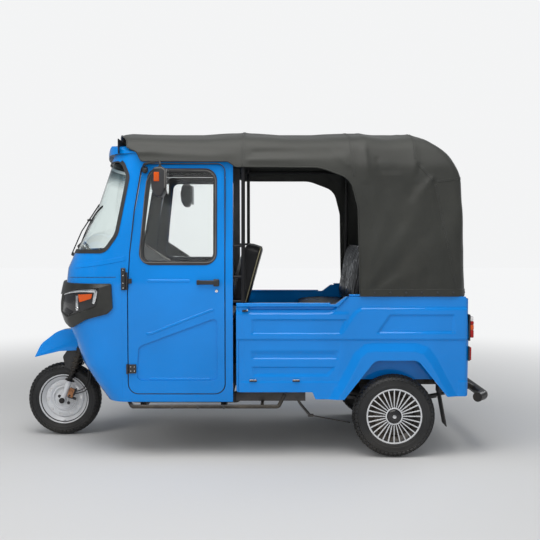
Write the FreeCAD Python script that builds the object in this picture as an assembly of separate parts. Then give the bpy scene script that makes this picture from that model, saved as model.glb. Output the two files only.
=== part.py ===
import FreeCAD, Part
import math
import os

os.makedirs("parts", exist_ok=True)
V = FreeCAD.Vector

# driving dimensions, millimetres
overall_length = 3050.0
overall_height = 2070.0
wheelbase = 2187.0
cab_length = 1191.0
cab_half_width = 600.0
bed_half_width = 620.0
bed_overhang = 455.0
rear_track = 1120.0
front_tyre_radius = 250.0
front_tyre_width = 95.0
rear_tyre_radius = 257.0
rear_tyre_width = 105.0
rim_flange_radius = 170.0
steering_rake = 20.0

# clearances
seat_gap = 0.3
door_gap = 6.0
cab_bed_gap = 21.0
pin_gap = 0.3

# walls and sheets
cab_wall = 28.0
bed_wall = 26.0
sheet = 4.0
canopy_wall = 12.0
glass = 5.0
hoop_radius = 12.0

# stations along the vehicle
front_axle_x = -overall_length / 2 + front_tyre_radius
rear_axle_x = front_axle_x + wheelbase
cab_rear_x = front_axle_x + cab_length
bed_front_x = cab_rear_x + cab_bed_gap
bed_rear_x = rear_axle_x + bed_overhang
bumper_rear_x = overall_length / 2
rake = math.radians(steering_rake)
rake_direction = V(math.sin(rake), 0, math.cos(rake))
front_axle = V(front_axle_x, 0, front_tyre_radius)
wide = 900.0


# shape helpers
# lines through (point, radius) pairs, with an arc at each corner that has a radius
def bent_wire(points, closed=True):
    corners = []
    count = len(points)
    for index, (corner, radius) in enumerate(points):
        end = not closed and index in (0, count - 1)
        if end or radius <= 0:
            corners.append((corner, corner, None))
            continue
        before = (points[index - 1][0] - corner).normalize()
        after = (points[(index + 1) % count][0] - corner).normalize()
        half = before.getAngle(after) / 2
        middle = (before + after).normalize()
        reach = radius / math.tan(half)
        crown = corner + middle * (radius / math.sin(half) - radius)
        corners.append((corner + before * reach, corner + after * reach, crown))
    edges = []
    for index, (entry, leave, crown) in enumerate(corners):
        if crown is not None:
            edges.append(Part.Arc(entry, crown, leave).toShape())
        if closed or index < count - 1:
            following = corners[(index + 1) % count][0]
            if leave.distanceToPoint(following) > 0.001:
                edges.append(Part.LineSegment(leave, following).toShape())
    return Part.Wire(edges)


def placed(points, place):
    return [(place(*row[:2]), row[2] if len(row) > 2 else 0) for row in points]


def along_y(points, y_from, y_to):
    face = Part.Face(bent_wire(placed(points, lambda x, z: V(x, y_from, z))))
    return face.extrude(V(0, y_to - y_from, 0))


def along_x(points, x_from, x_to):
    face = Part.Face(bent_wire(placed(points, lambda y, z: V(x_from, y, z))))
    return face.extrude(V(x_to - x_from, 0, 0))


def along_z(points, z_from, z_to):
    face = Part.Face(bent_wire(placed(points, lambda x, y: V(x, y, z_from))))
    return face.extrude(V(0, 0, z_to - z_from))


def box(x_span, y_span, z_span):
    size = [span[1] - span[0] for span in (x_span, y_span, z_span)]
    return Part.makeBox(*size, V(x_span[0], y_span[0], z_span[0]))


def soft_box(x_span, y_span, z_span, radius):
    block = box(x_span, y_span, z_span)
    return block.makeFillet(radius, block.Edges)


def rod(points, radius, bend=0.0):
    path = bent_wire([(point, bend) for point in points], closed=False)
    ring = Part.Wire(Part.makeCircle(radius, points[0], points[1] - points[0]))
    return path.makePipeShell([ring], True, True)


def pin(start, end, radius):
    return Part.makeCylinder(radius, (end - start).Length, start, end - start)


# rings about a line along Y through the centre, from (radius, y, corner radius) rows
def turned(points, centre):
    wire = bent_wire(placed(points, lambda r, y: centre + V(r, y, 0)))
    return Part.Face(wire).revolve(centre, V(0, 1, 0), 360)


# the outline moved inward by a distance, or outward when it is negative
def inset(points, distance):
    area = sum(points[i - 1][0] * points[i][1] - points[i][0] * points[i - 1][1] for i in range(len(points)))
    turn = 1 if area > 0 else -1
    lines = []
    for index in range(len(points)):
        a, b = points[index - 1], points[index]
        dx, dz = b[0] - a[0], b[1] - a[1]
        length = math.hypot(dx, dz)
        nx, nz = -dz / length * turn, dx / length * turn
        lines.append((a[0] + nx * distance, a[1] + nz * distance, dx / length, dz / length))
    moved = []
    for index, row in enumerate(points):
        ax, az, ux, uz = lines[index]
        bx, bz, wx, wz = lines[(index + 1) % len(points)]
        cross = ux * wz - uz * wx
        step = ((bx - ax) * wz - (bz - az) * wx) / cross
        corner_sign = 1 if cross * turn > 0 else -1
        radius = row[2] if len(row) > 2 else 0
        if radius > 0:
            radius = max(radius - distance * corner_sign, 1.0)
        moved.append((ax + ux * step, az + uz * step, radius))
    return moved


def mirrored(shape):
    return shape.mirror(V(0, 0, 0), V(0, 1, 0))


def both(*shapes):
    return list(shapes) + [mirrored(shape) for shape in shapes]


def joined(shapes):
    first, *others = shapes
    return first.fuse(others).removeSplitter() if others else first


def export(name, shapes):
    shape = shapes if isinstance(shapes, Part.Shape) else Part.makeCompound(shapes)
    shape.exportStep("parts/" + name + ".step")
    print(name, round(shape.Volume / 1e6, 2), "litres", "valid" if shape.isValid() else "NOT VALID")


# cab outer surface: height, nose behind front axle, half width taken off, corner radius
cab_rows = [
    (345, 310, 12, 130),
    (457, 230, 6, 150),
    (564, 163, 2, 180),
    (684, 120, 0, 220),
    (834, 58, 0, 270),
    (950, 43, 0, 300),
    (1090, 62, 0, 310),
    (1165, 72, 2, 310),
    (1268, 118, 8, 300),
    (1560, 262, 27, 262),
    (1880, 372, 50, 228),
]
nose_curve = 1300.0
cab_bottom = cab_rows[0][0]
cab_top = cab_rows[-1][0]


def cab_section(height, nose, half_width, corner, rear):
    centre = nose + nose_curve
    start = centre - math.sqrt((nose_curve - corner) ** 2 - (half_width - corner) ** 2)
    away = V(start - centre, half_width - corner, 0).normalize()
    meet = V(centre, 0, height) + away * nose_curve
    between = (away + V(0, 1, 0)).normalize()
    crown = V(start, half_width - corner, height) + between * corner
    side = V(start, half_width, height)
    back = V(rear, half_width, height)
    flip = lambda point: V(point.x, -point.y, point.z)
    return Part.Wire([
        Part.LineSegment(flip(back), flip(side)).toShape(),
        Part.Arc(flip(side), flip(crown), flip(meet)).toShape(),
        Part.Arc(flip(meet), V(nose, 0, height), meet).toShape(),
        Part.Arc(meet, crown, side).toShape(),
        Part.LineSegment(side, back).toShape(),
        Part.LineSegment(back, flip(back)).toShape(),
    ])


# the cab body taken in by a depth, its ends moved out by a reach
def cab_solid(depth, rear=cab_rear_x, nose_depth=None, reach=0.0):
    ahead = depth if nose_depth is None else nose_depth
    wires = []
    for height, behind, narrower, corner in cab_rows:
        level = height
        if height == cab_bottom:
            level = height - reach
        if height == cab_top:
            level = height + reach
        nose = front_axle_x + behind + ahead
        wires.append(cab_section(level, nose, cab_half_width - narrower - depth, corner - depth, rear))
    return Part.makeLoft(wires, True, True)


def cab_skin(outer_depth, inner_depth):
    return cab_solid(outer_depth).cut(cab_solid(inner_depth, cab_rear_x + 40, None, 20))


# door and window outlines seen from the side: x, z, corner radius
door_front_x = cab_rear_x - 643.0
door_rear_x = cab_rear_x - 51.0
door_bottom = 398.0
door_top = 1810.0
door_outline = [
    (door_front_x, door_bottom, 60),
    (door_front_x, 1020, 0),
    (door_front_x + 14, 1270, 0),
    (door_front_x + 41, 1520, 0),
    (door_front_x + 92, door_top, 45),
    (door_rear_x, door_top, 45),
    (door_rear_x, door_bottom, 60),
]
window_outline = [
    (door_front_x + 76, 1206, 60),
    (door_front_x + 100, 1468, 0),
    (door_front_x + 136, 1772, 50),
    (door_rear_x - 60, 1772, 60),
    (door_rear_x - 60, 1206, 62),
]
upper_recess = [
    (door_front_x + 40, 1130, 25),
    (door_rear_x - 190, 1130, 25),
    (door_rear_x - 190, 1040, 40),
    (door_front_x + 58, 870, 40),
    (door_front_x + 40, 870, 15),
]
lower_recess = [
    (door_rear_x - 45, 870, 25),
    (door_front_x + 62, 690, 40),
    (door_front_x + 50, 480, 30),
    (door_rear_x - 45, 480, 30),
]
screen_outline = [
    (front_axle_x - 200, 1277, 0),
    (front_axle_x + 400, 1277, 70),
    (front_axle_x + 474, 1380, 150),
    (front_axle_x + 543, 1740, 60),
    (front_axle_x + 500, 1838, 60),
    (front_axle_x - 200, 1838, 0),
]
door_thickness = 27.0
recess_depth = 7.0

# steering column line
def on_axis(height):
    return front_axle + rake_direction * ((height - front_axle.z) / rake_direction.z)


housing_half_width = 290.0
housing_top = 800.0
housing_rear_x = front_axle_x + 345.0
head_tube_bottom = on_axis(825)
head_tube_top = on_axis(965)
stem_radius = 18.0
head_tube_radius = 30.0

# cab body
outer_cab = cab_solid(0)
inner_cab = cab_solid(cab_wall, cab_rear_x + 40, None, 20)
fitted_cab = cab_solid(cab_wall + seat_gap, cab_rear_x - 1)
cab_shell = outer_cab.cut(inner_cab)
door_cut = along_y(inset(door_outline, -door_gap), -wide, wide)
screen_cut = along_y(screen_outline, -wide, wide)
arch_cut = box((front_axle_x - 400, housing_rear_x), (-housing_half_width, housing_half_width),
               (cab_bottom - 50, housing_top - 10))
cab_shell = cab_shell.cut([door_cut, screen_cut, arch_cut])
nose_split = along_y([
    (front_axle_x - 300, cab_bottom - 10),
    (door_front_x - 40, cab_bottom - 10),
    (door_front_x - 40, 1225),
    (front_axle_x - 300, 1225),
], -wide, wide)
export("cab_nose", cab_shell.common(nose_split))
cab_upper = cab_shell.cut(nose_split)

# canopy outlines
canopy_front_x = front_axle_x + 424.0
canopy_rear_x = bed_rear_x - 12.0
canopy_hem = 1000.0 + seat_gap
canopy_side = [
    (canopy_front_x - 100, 1906, 0),
    (canopy_front_x + 67, 2040, 70),
    (front_axle_x + 1250, overall_height + 2, 900),
    (canopy_rear_x - 330, 2046, 300),
    (canopy_rear_x - 110, 1880, 160),
    (canopy_rear_x - 45, 1740, 200),
    (canopy_rear_x, canopy_hem, 0),
    (canopy_front_x - 100, canopy_hem, 0),
]
canopy_half_width = bed_half_width + 8.0
canopy_front = [
    (-canopy_half_width, canopy_hem - 24, 0),
    (-canopy_half_width, 1300, 0),
    (-canopy_half_width + 26, 1800, 120),
    (-canopy_half_width + 90, 1965, 130),
    (0, overall_height + 60, 1500),
    (canopy_half_width - 90, 1965, 130),
    (canopy_half_width - 26, 1800, 120),
    (canopy_half_width, 1300, 0),
    (canopy_half_width, canopy_hem - 24, 0),
]
canopy_plan = [
    (canopy_front_x - 60, -canopy_half_width - 10, 0),
    (canopy_rear_x, -canopy_half_width - 10, 110),
    (canopy_rear_x, canopy_half_width + 10, 110),
    (canopy_front_x - 60, canopy_half_width + 10, 0),
]


def canopy_solid(depth, drop):
    foot = canopy_hem + depth + 1
    side_rows = [(x, z - drop if z < foot else z, r) for x, z, r in inset(canopy_side, depth)]
    front_rows = [(y, z - drop if z < foot else z, r) for y, z, r in inset(canopy_front, depth)]
    body = along_y(side_rows, -wide, wide)
    body = body.common(along_x(front_rows, canopy_front_x - 200, canopy_rear_x + 100))
    return body.common(along_z(inset(canopy_plan, depth), 900, 2300))


# brow over the windscreen
brow_nose = front_axle_x + 343.0
brow_rear_x = front_axle_x + 640.0
brow_wall = 12.0
brow_side = [
    (brow_nose, cab_top - 16),
    (brow_nose + 9, cab_top + 2),
    (brow_nose + 112, 1958, 60),
    (brow_nose + 217, 1988),
    (brow_rear_x, 1988),
    (brow_rear_x, cab_top + seat_gap),
    (brow_nose + 57, cab_top + seat_gap),
]
brow_front = [
    (-560, cab_top - 30),
    (-560, cab_top + 4, 16),
    (-470, 1930, 120),
    (0, 1996, 1200),
    (470, 1930, 120),
    (560, cab_top + 4, 16),
    (560, cab_top - 30),
]
brow_plan = cab_section(cab_top - 40, brow_nose, cab_half_width - 50, 228, cab_rear_x)
brow_block = Part.Face(brow_plan).extrude(V(0, 0, 240))
brow_roof = along_x(brow_front, brow_nose - 100, brow_rear_x)
brow_room = along_x(inset(brow_front, brow_wall), brow_nose - 100, brow_rear_x + 60)
brow_under = along_y(inset(brow_side[:-1], brow_wall), -wide, wide)
brow = along_y(brow_side, -wide, wide).common(brow_block).common(brow_roof)
brow = brow.cut(brow_room.common(brow_under).common(brow_block.translated(V(brow_wall + 2, 0, 0))))
brow_rear_cut = box((front_axle_x + 500, front_axle_x + 700), (-430, 430), (cab_top - 10, 2100))
brow = brow.cut([brow_rear_cut, cab_solid(-seat_gap)])
export("cab_frame", [cab_upper, brow])

# cab floor, bulkhead and seat base
floor_top = 354.0
floor_plate = fitted_cab.common(box((housing_rear_x + 8, cab_rear_x - 6), (-wide, wide),
                                    (floor_top - sheet, floor_top)))
neck_room = box((housing_rear_x, housing_rear_x + 86), (-35, 35), (floor_top - 10, floor_top + 10))
floor_plate = floor_plate.cut(neck_room)
tunnel_half_width = 95.0
bulkhead = fitted_cab.common(box((cab_rear_x - 20, cab_rear_x - 16), (-wide, wide), (floor_top, 800)))
bulkhead = bulkhead.cut(box((cab_rear_x - 40, cab_rear_x), (-tunnel_half_width, tunnel_half_width),
                            (floor_top - 1, 520)))
export("cab_floor", joined([floor_plate, bulkhead]))

housing_box = box((front_axle_x - 300, housing_rear_x + sheet),
                  (-housing_half_width - sheet, housing_half_width + sheet),
                  (cab_bottom, housing_top + sheet))
housing_room = box((front_axle_x - 310, housing_rear_x), (-housing_half_width, housing_half_width),
                   (cab_bottom - 10, housing_top))
housing = housing_box.cut(housing_room).common(cab_solid(cab_wall + seat_gap, cab_rear_x))
housing = housing.cut(pin(on_axis(760), on_axis(860), head_tube_radius + seat_gap))
export("wheel_housing", housing)

# nose mask with lamps
mask_outline = [
    (front_axle_x - 120, 1076),
    (front_axle_x + 447, 1078, 12),
    (front_axle_x + 454, 924, 20),
    (front_axle_x + 421, 892, 30),
    (front_axle_x + 292, 858, 40),
    (front_axle_x + 180, 797, 8),
    (front_axle_x + 66, 880, 8),
    (front_axle_x - 120, 880),
]
mask_side_reach = 14.0
mask_nose_reach = 20.0


def mask_solid(depth):
    return cab_solid(depth - mask_side_reach, cab_rear_x, depth - mask_nose_reach)


mask_band = mask_solid(0).cut(cab_solid(-seat_gap, cab_rear_x + 40, None, 20))
mask = mask_band.common(along_y(mask_outline, -wide, wide))
headlamp_outline = [(-440, 918, 20), (-190, 930, 20), (-190, 1010, 20), (-455, 1022, 20)]
headlamp_cut = along_x(headlamp_outline, front_axle_x - 200, front_axle_x + 200)
indicator_outline = [
    (front_axle_x + 238, 956, 6),
    (front_axle_x + 313, 968, 6),
    (front_axle_x + 317, 1012, 6),
    (front_axle_x + 236, 1004, 6),
]
indicator_cut = along_y(indicator_outline, -wide, -350)
lamp_depth = 11.0
window_depth = 5.0
window_outline_side = [
    (front_axle_x - 120, 1003),
    (front_axle_x + 345, 1036, 12),
    (front_axle_x + 320, 932, 16),
    (front_axle_x + 172, 866, 16),
    (front_axle_x - 120, 866),
]
window_side = along_y(window_outline_side, -wide, -170)
mask = mask.cut(mask_solid(-20).cut(mask_solid(window_depth)).common(Part.makeCompound(both(window_side))))
mask = mask.cut(mask_solid(-20).cut(mask_solid(lamp_depth)).common(
    Part.makeCompound(both(headlamp_cut, indicator_cut))))
export("nose_mask", mask)
lamp_band = mask_solid(window_depth - 2).cut(mask_solid(lamp_depth - seat_gap))


def lamp_piece(outline, spread):
    cutter = spread(inset(outline, seat_gap))
    return lamp_band.common(cutter)


headlamp = lamp_piece(headlamp_outline, lambda rows: along_x(rows, front_axle_x - 200, front_axle_x + 200))
export("headlamps", both(headlamp))
indicator = lamp_piece(indicator_outline, lambda rows: along_y(rows, -wide, -350))
export("indicator_lamps", both(indicator))

# windscreen, its seal and the wiper
glass_depth = 10.0
glass_edge_gap = 1.0
glass_skin = cab_skin(glass_depth, glass_depth + glass)
screen = glass_skin.common(along_y(inset(screen_outline, glass_edge_gap), -wide, wide))
export("windscreen", screen)
lip = 4.0


def seal_ring(outline, side_from, side_to):
    band = lambda distance: along_y(inset(outline, distance), side_from, side_to)
    over = band(-14).cut(band(9))
    edge = band(seat_gap).cut(band(9))
    outer = cab_skin(-lip, -seat_gap).common(over)
    inner = cab_skin(-lip, glass_depth - seat_gap).common(edge)
    return joined([outer, inner])


screen_seal = seal_ring(screen_outline, -wide, wide)
wiper_y = -60.0
wiper_head = V(front_axle_x + 70, wiper_y, 1252)
wiper_pivot = pin(V(front_axle_x + 125, wiper_y, 1222), wiper_head, 12).cut(cab_solid(-seat_gap))
wiper_arm = rod([wiper_head, V(front_axle_x + 186, -260, 1402), V(front_axle_x + 352, -488, 1566)], 4, 40)
export("windscreen_trim", [screen_seal, joined([wiper_arm, wiper_pivot])])

# dashboard behind the windscreen
dash_side = [
    (front_axle_x - 50, 1120),
    (front_axle_x + 175, 1120, 30),
    (front_axle_x + 190, 1225, 40),
    (front_axle_x + 165, 1262, 14),
    (front_axle_x - 50, 1262),
]
dash = cab_solid(cab_wall + seat_gap).common(along_y(dash_side, -wide, wide))
export("dashboard", dash)

# doors
hinge_x = door_front_x - door_gap
hinge_y = cab_half_width + 12.0
door_blank = outer_cab.cut(cab_solid(door_thickness, cab_rear_x + 40, None, 20))
door_blank = door_blank.common(along_y(door_outline, -wide, -300))
recess_band = cab_solid(-5).cut(cab_solid(recess_depth))
door_recesses = recess_band.common(Part.makeCompound([
    along_y(upper_recess, -wide, -300), along_y(lower_recess, -wide, -300)]))
door_shell = door_blank.cut([door_recesses, along_y(window_outline, -wide, -300)])
door_glass = glass_skin.common(along_y(inset(window_outline, glass_edge_gap), -wide, -300))
door_seal = seal_ring(window_outline, -wide, -300)
hinge_rows = [(1038, 1150), (520, 585)]
hinges = []
for low, high in hinge_rows:
    knuckle = pin(V(hinge_x, -hinge_y, low), V(hinge_x, -hinge_y, high), 9)
    leaf = box((hinge_x, hinge_x + 42), (-hinge_y, -cab_half_width + 12), (low + 6, high - 6))
    hinges.append(joined([knuckle, leaf.cut(cab_solid(-seat_gap))]))
handle = soft_box((door_rear_x - 169, door_rear_x - 34), (-cab_half_width - 26, -cab_half_width - seat_gap),
                  (1062, 1108), 8)
mirror_x = door_front_x + 223.0
mirror_y = -760.0
mirror_housing = soft_box((mirror_x - 42, mirror_x + 42), (mirror_y - 62, mirror_y + 62), (1594, 1774), 24)
bracket = V(door_front_x + 105, -565, 1786)
mirror_arm = rod([bracket + V(0, -6, 0), bracket + V(0, -60, 20), V(mirror_x - 20, mirror_y + 90, 1800),
                  V(mirror_x, mirror_y + 20, 1795), V(mirror_x, mirror_y, 1765)], 6, 14)
mirror_foot = pin(bracket + V(0, -12, 0), bracket + V(0, 20, 0), 14).cut(cab_solid(-seat_gap))
mirror = joined([mirror_housing, mirror_arm, mirror_foot])
door_fittings = hinges + [handle, mirror]
for side, turn in (("left", lambda shape: shape), ("right", mirrored)):
    export("door_" + side + "_shell", turn(door_shell))
    export("door_" + side + "_glass", turn(door_glass))
    export("door_" + side + "_seal", turn(door_seal))
    export("door_" + side + "_fittings", [turn(piece) for piece in door_fittings])

# chassis frame
rail_y = 300.0
rail_low = (285.0, 345.0)
rail_high = (405.0, 465.0)
rail_width = 50.0
rail_nose_depth = 14.0
rail_side = [
    (housing_rear_x + 20, rail_low[1] - rail_nose_depth),
    (housing_rear_x + 190, rail_low[0], 60),
    (cab_rear_x + 20, rail_low[0], 60),
    (cab_rear_x + 180, rail_high[0], 60),
    (bed_rear_x + 20, rail_high[0]),
    (bed_rear_x + 20, rail_high[1]),
    (cab_rear_x + 155, rail_high[1], 60),
    (cab_rear_x - 5, rail_low[1], 60),
    (housing_rear_x + 20, rail_low[1]),
]
rails = both(along_y(rail_side, -rail_y - rail_width / 2, -rail_y + rail_width / 2))
flap_arm_x = rear_axle_x + 318.0
cross_rows = [
    (housing_rear_x + 60, (rail_low[1] - 26, rail_low[1])),
    (cab_rear_x - 200, rail_low),
    (bed_front_x + 330, rail_high),
    (flap_arm_x, rail_high),
    (bed_rear_x - 20, rail_high),
]
crosses = [box((x - 22, x + 22), (-rail_y, rail_y), (low + 6, high - 6)) for x, (low, high) in cross_rows]
outrigger_half = 18.0
outrigger_rows = [
    (door_front_x + 80, rail_low, 540),
    (cab_rear_x - 60, rail_low, 540),
    (bed_front_x + 330, rail_high, 575),
    (flap_arm_x, rail_high, 575),
]
outriggers = [box((x - outrigger_half, x + outrigger_half), (-reach, reach), (low + 12, high - 8))
              for x, (low, high), reach in outrigger_rows]
neck_half_width = 34.0
neck_side = [
    (housing_rear_x + 14, rail_low[1] - 26),
    (housing_rear_x + 85, rail_low[1] - 26),
    (housing_rear_x + 85, 780, 60),
    (head_tube_top.x + 20, 945, 20),
    (head_tube_top.x, 955),
    (head_tube_bottom.x + 4, 832),
    (housing_rear_x + 14, 812, 12),
]
neck = along_y(neck_side, -neck_half_width, neck_half_width)
head_tube = pin(head_tube_bottom, head_tube_top, head_tube_radius)
bore = pin(on_axis(700), on_axis(1100), stem_radius + pin_gap)
step_z = 318.0
step_y = 600.0
step_bar = rod([V(door_front_x - 10, -step_y + 70, 338), V(door_front_x + 20, -step_y, step_z),
                V(bed_front_x + 260, -step_y, step_z), V(bed_front_x + 300, -step_y + 10, 395)], 12, 22)
step_arms = [rod([V(x, -rail_y, 315), V(x, -step_y, step_z)], 11) for x in
             (door_front_x + 80, cab_rear_x - 60, bed_front_x + 160)]
frame = joined(rails + crosses + outriggers + [neck, head_tube]).cut(bore)
frame = frame.cut(housing)
export("chassis_frame", [frame] + both(joined([step_bar] + step_arms).cut(frame)))

# engine under the driver's seat and the gearbox behind it
engine = box((cab_rear_x - 360, cab_rear_x - 30), (-180, 180), (floor_top + seat_gap, 660))
gearbox = box((cab_rear_x - 30, cab_rear_x + 110), (-80, 80), (floor_top + 12, 500))
export("engine_block", joined([engine, gearbox]))

# rear axle
axle_z = rear_tyre_radius
wheel_y = rear_track / 2
axle_centre = V(rear_axle_x, 0, axle_z)
hub_inner = 34.0
axle_tube = turned([(0, -wheel_y + 78), (34, -wheel_y + 78), (34, -130, 20), (95, -60, 40), (95, 60, 40),
                    (34, 130, 20), (34, wheel_y - 78), (0, wheel_y - 78)], axle_centre)
backplate = turned([(0, -wheel_y + 84), (92, -wheel_y + 84), (92, -wheel_y + 72),
                    (hub_inner / 2, -wheel_y + 72),
                    (hub_inner / 2, -wheel_y - 30), (0, -wheel_y - 30)], axle_centre)
prop_start = V(cab_rear_x + 110 + seat_gap, 0, 400)
prop_shaft = rod([prop_start, prop_start + V(40, 0, 0), V(rear_axle_x - 80, 0, axle_z + 10)], 24, 60)
export("rear_axle", [joined([axle_tube, prop_shaft] + both(backplate))])

# leaf springs with their hangers and clamps; rows give each leaf's half length, longest first
spring_y = 395.0
spring_half_width = 25.0
leaf_halves = [380.0, 300.0, 220.0, 140.0]
leaf_thickness = 9.0
camber = 44.0
spring_low = axle_z + 34 + seat_gap
spring_top = spring_low + leaf_thickness * len(leaf_halves)


def camber_at(x):
    return camber * (x / leaf_halves[0]) ** 2


under_side = []
for order, half in enumerate(leaf_halves):
    depth = leaf_thickness * (order + 1)
    if order:
        under_side.append((half, spring_top + camber_at(half) - depth + leaf_thickness))
    under_side.append((half, spring_top + camber_at(half) - depth))
under_side.append((0, spring_low))
top_side = [(x * leaf_halves[0], spring_top + camber_at(x * leaf_halves[0])) for x in (-1, -0.5, 0, 0.5)]
left_side = [(-x, z) for x, z in reversed(under_side[:-1])]
leaf_outline = [(rear_axle_x + x, z) for x, z in under_side + left_side + top_side]
leaf_outline.append((rear_axle_x + leaf_halves[0], spring_top + camber))
leaves = along_y(leaf_outline, -spring_y - spring_half_width, -spring_y + spring_half_width)
eye_z = spring_top + camber - 4
spring_parts = [leaves]
rail_face = -rail_y - rail_width / 2
for way in (-1, 1):
    eye_x = rear_axle_x + way * leaf_halves[0]
    spring_parts.append(pin(V(eye_x, -spring_y - 32, eye_z), V(eye_x, -spring_y + 32, eye_z), 16))
    spring_parts.append(box((eye_x - 22, eye_x + 22), (-spring_y + 28, rail_face - seat_gap),
                            (eye_z - 20, rail_high[1] - 12)))
    clamp_x = rear_axle_x + way * 46
    spring_parts.append(box((clamp_x - 6, clamp_x + 6), (-spring_y - 36, -spring_y + 36),
                            (axle_z - 50, spring_top + 14)))
spring_parts.append(box((rear_axle_x - 52, rear_axle_x + 52), (-spring_y - 36, -spring_y + 36),
                        (axle_z - 50, axle_z - 34 - seat_gap)))
spring_parts.append(box((rear_axle_x - 52, rear_axle_x + 52), (-spring_y - 36, -spring_y + 36),
                        (spring_top - 2, spring_top + 12)))
export("leaf_springs", both(joined(spring_parts)))

# load bed floor, front wall and wheel tubs
bed_floor_z = rail_high[1] + seat_gap
tub_half_length = 300.0
tub_top = 632.0
tub_inner_y = 470.0
bed_inner_y = bed_half_width - 6 - bed_wall
tub_cut = both(box((rear_axle_x - tub_half_length, rear_axle_x + tub_half_length), (-wide, -tub_inner_y),
                   (0, tub_top)))
bed_front_wall = 24.0
bed_floor = box((bed_front_x + bed_front_wall + seat_gap, bed_rear_x - 24),
                (-bed_inner_y + seat_gap, bed_inner_y - seat_gap),
                (bed_floor_z, bed_floor_z + sheet))
floor_ribs = [box((bed_front_x + 60, bed_rear_x - 60), (y - 14, y + 14),
                  (bed_floor_z + sheet - 1, bed_floor_z + sheet + 7))
              for y in range(-420, 421, 120)]
tunnel_room = box((bed_front_x - 10, bed_front_x + 150), (-tunnel_half_width, tunnel_half_width),
                  (300, 520))
bed_floor = joined([bed_floor] + floor_ribs).cut(tub_cut + [tunnel_room])
export("bed_floor", bed_floor)
bed_front = box((bed_front_x, bed_front_x + bed_front_wall),
                (-bed_inner_y + seat_gap, bed_inner_y - seat_gap),
                (bed_floor_z, 906 - seat_gap))
bed_front = bed_front.cut(box((bed_front_x - 10, bed_front_x + 40), (-tunnel_half_width, tunnel_half_width),
                              (300, 520)))
export("bed_front", bed_front)
tub_profile = [(rear_axle_x - tub_half_length, bed_floor_z), (rear_axle_x - 180, tub_top, 90),
               (rear_axle_x + 180, tub_top, 90), (rear_axle_x + tub_half_length, bed_floor_z)]
tub_outer = along_y(tub_profile, -bed_inner_y + seat_gap, -tub_inner_y)
tub_room = along_y(inset(tub_profile[:1] + tub_profile[1:], sheet), -bed_inner_y, -tub_inner_y - sheet)
tub_room = tub_room.fuse(box((rear_axle_x - tub_half_length + 6, rear_axle_x + tub_half_length - 6),
                             (-bed_inner_y, -tub_inner_y - sheet), (bed_floor_z - 5, bed_floor_z + 6)))
wheel_tub = tub_outer.cut(tub_room)
export("wheel_tubs", both(wheel_tub))

# bed sides with rail, ribs and flared arch
side_outline = [
    (bed_front_x, 410, 14),
    (rear_axle_x - 506, 410, 10),
    (rear_axle_x - 488, 366, 10),
    (rear_axle_x - 313, 366),
    (rear_axle_x - 124, 608, 60),
    (rear_axle_x + 140, 608, 60),
    (rear_axle_x + 320, 385),
    (bed_rear_x - 6, 385, 12),
    (bed_rear_x, 734),
    (bed_rear_x - 20, 1000, 10),
    (rear_axle_x - 303, 1000, 30),
    (rear_axle_x - 382, 940, 30),
    (bed_front_x, 940, 14),
]
base_y = bed_half_width - 6.0
side_panel = along_y(side_outline, -base_y, -base_y + bed_wall)


# a raised pressing on the side panel with sloping flanks
def pressing(points, proud, draft):
    foot = bent_wire(placed(points, lambda x, z: V(x, -base_y + 1, z)))
    head = bent_wire(placed(inset(points, draft), lambda x, z: V(x, -base_y - proud, z)))
    return Part.makeLoft([foot, head], True, True)


rib_front_x = bed_front_x + 96.0
rib_rear_x = rear_axle_x - 300.0
rib_rows = [
    (rib_front_x, rib_rear_x - 70, rib_rear_x - 18, 776, 862),
    (rib_front_x, rib_rear_x - 50, rib_rear_x - 60, 580, 640),
    (rib_front_x, rib_rear_x - 70, rib_rear_x - 120, 470, 560),
]
ribs = []
for x_front, x_low, x_high, z_low, z_high in rib_rows:
    ribs.append(pressing([(x_front, z_low, 12), (x_low, z_low, 12), (x_high, z_high, 12),
                          (x_front, z_high, 12)], 6, 9))
rail_inner_y = -base_y + bed_wall + 6
top_rail_rows = [
    (-base_y - 12, 940),
    (-base_y - 14, 948, 4),
    (-base_y - 8, 958, 6),
    (rail_inner_y, 958, 6),
    (rail_inner_y, 940),
]
rail_lip_rows = [
    (-base_y - 12, 906, 3),
    (-base_y - 14, 941, 3),
    (-base_y + 2, 941),
    (-base_y + 2, 900),
]
high_rail_rows = [
    (-base_y - 10, 1001),
    (-base_y - 12, 1008, 4),
    (-base_y - 6, 1019, 6),
    (rail_inner_y, 1019, 6),
    (rail_inner_y, 999),
    (-base_y + 2, 999),
]
top_rail = along_x(top_rail_rows, bed_front_x, rear_axle_x - 396)
rail_lip = along_x(rail_lip_rows, bed_front_x + 10, rear_axle_x - 400)
high_rail = along_x(high_rail_rows, rear_axle_x - 300, bed_rear_x - 24)
high_rail = high_rail.common(canopy_solid(canopy_wall + seat_gap, 60))
arch_edge = [
    (rear_axle_x + 318, 388),
    (rear_axle_x + 140, 608, 60),
    (rear_axle_x - 124, 608, 60),
    (rear_axle_x - 313, 366),
]
flare_outline = [
    (rear_axle_x - 405, 366, 8),
    (rear_axle_x - 160, 700, 60),
    (rear_axle_x + 158, 700, 60),
    (rear_axle_x + 380, 430, 20),
] + arch_edge
flare_head_outline = [
    (rear_axle_x - 352, 366, 8),
    (rear_axle_x - 142, 652, 60),
    (rear_axle_x + 150, 652, 60),
    (rear_axle_x + 350, 408, 20),
] + arch_edge
flare_reach = 22.0
flare_foot = bent_wire(placed(flare_outline, lambda x, z: V(x, -base_y + 1, z)))
flare_head = bent_wire(placed(flare_head_outline, lambda x, z: V(x, -base_y - flare_reach, z)))
flare = Part.makeLoft([flare_foot, flare_head], True, True)
rear_recess_outline = [(rear_axle_x + 200, 880, 12), (rear_axle_x + 390, 880, 12),
                       (rear_axle_x + 390, 780, 12),
                       (rear_axle_x + 160, 780, 12)]
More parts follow.
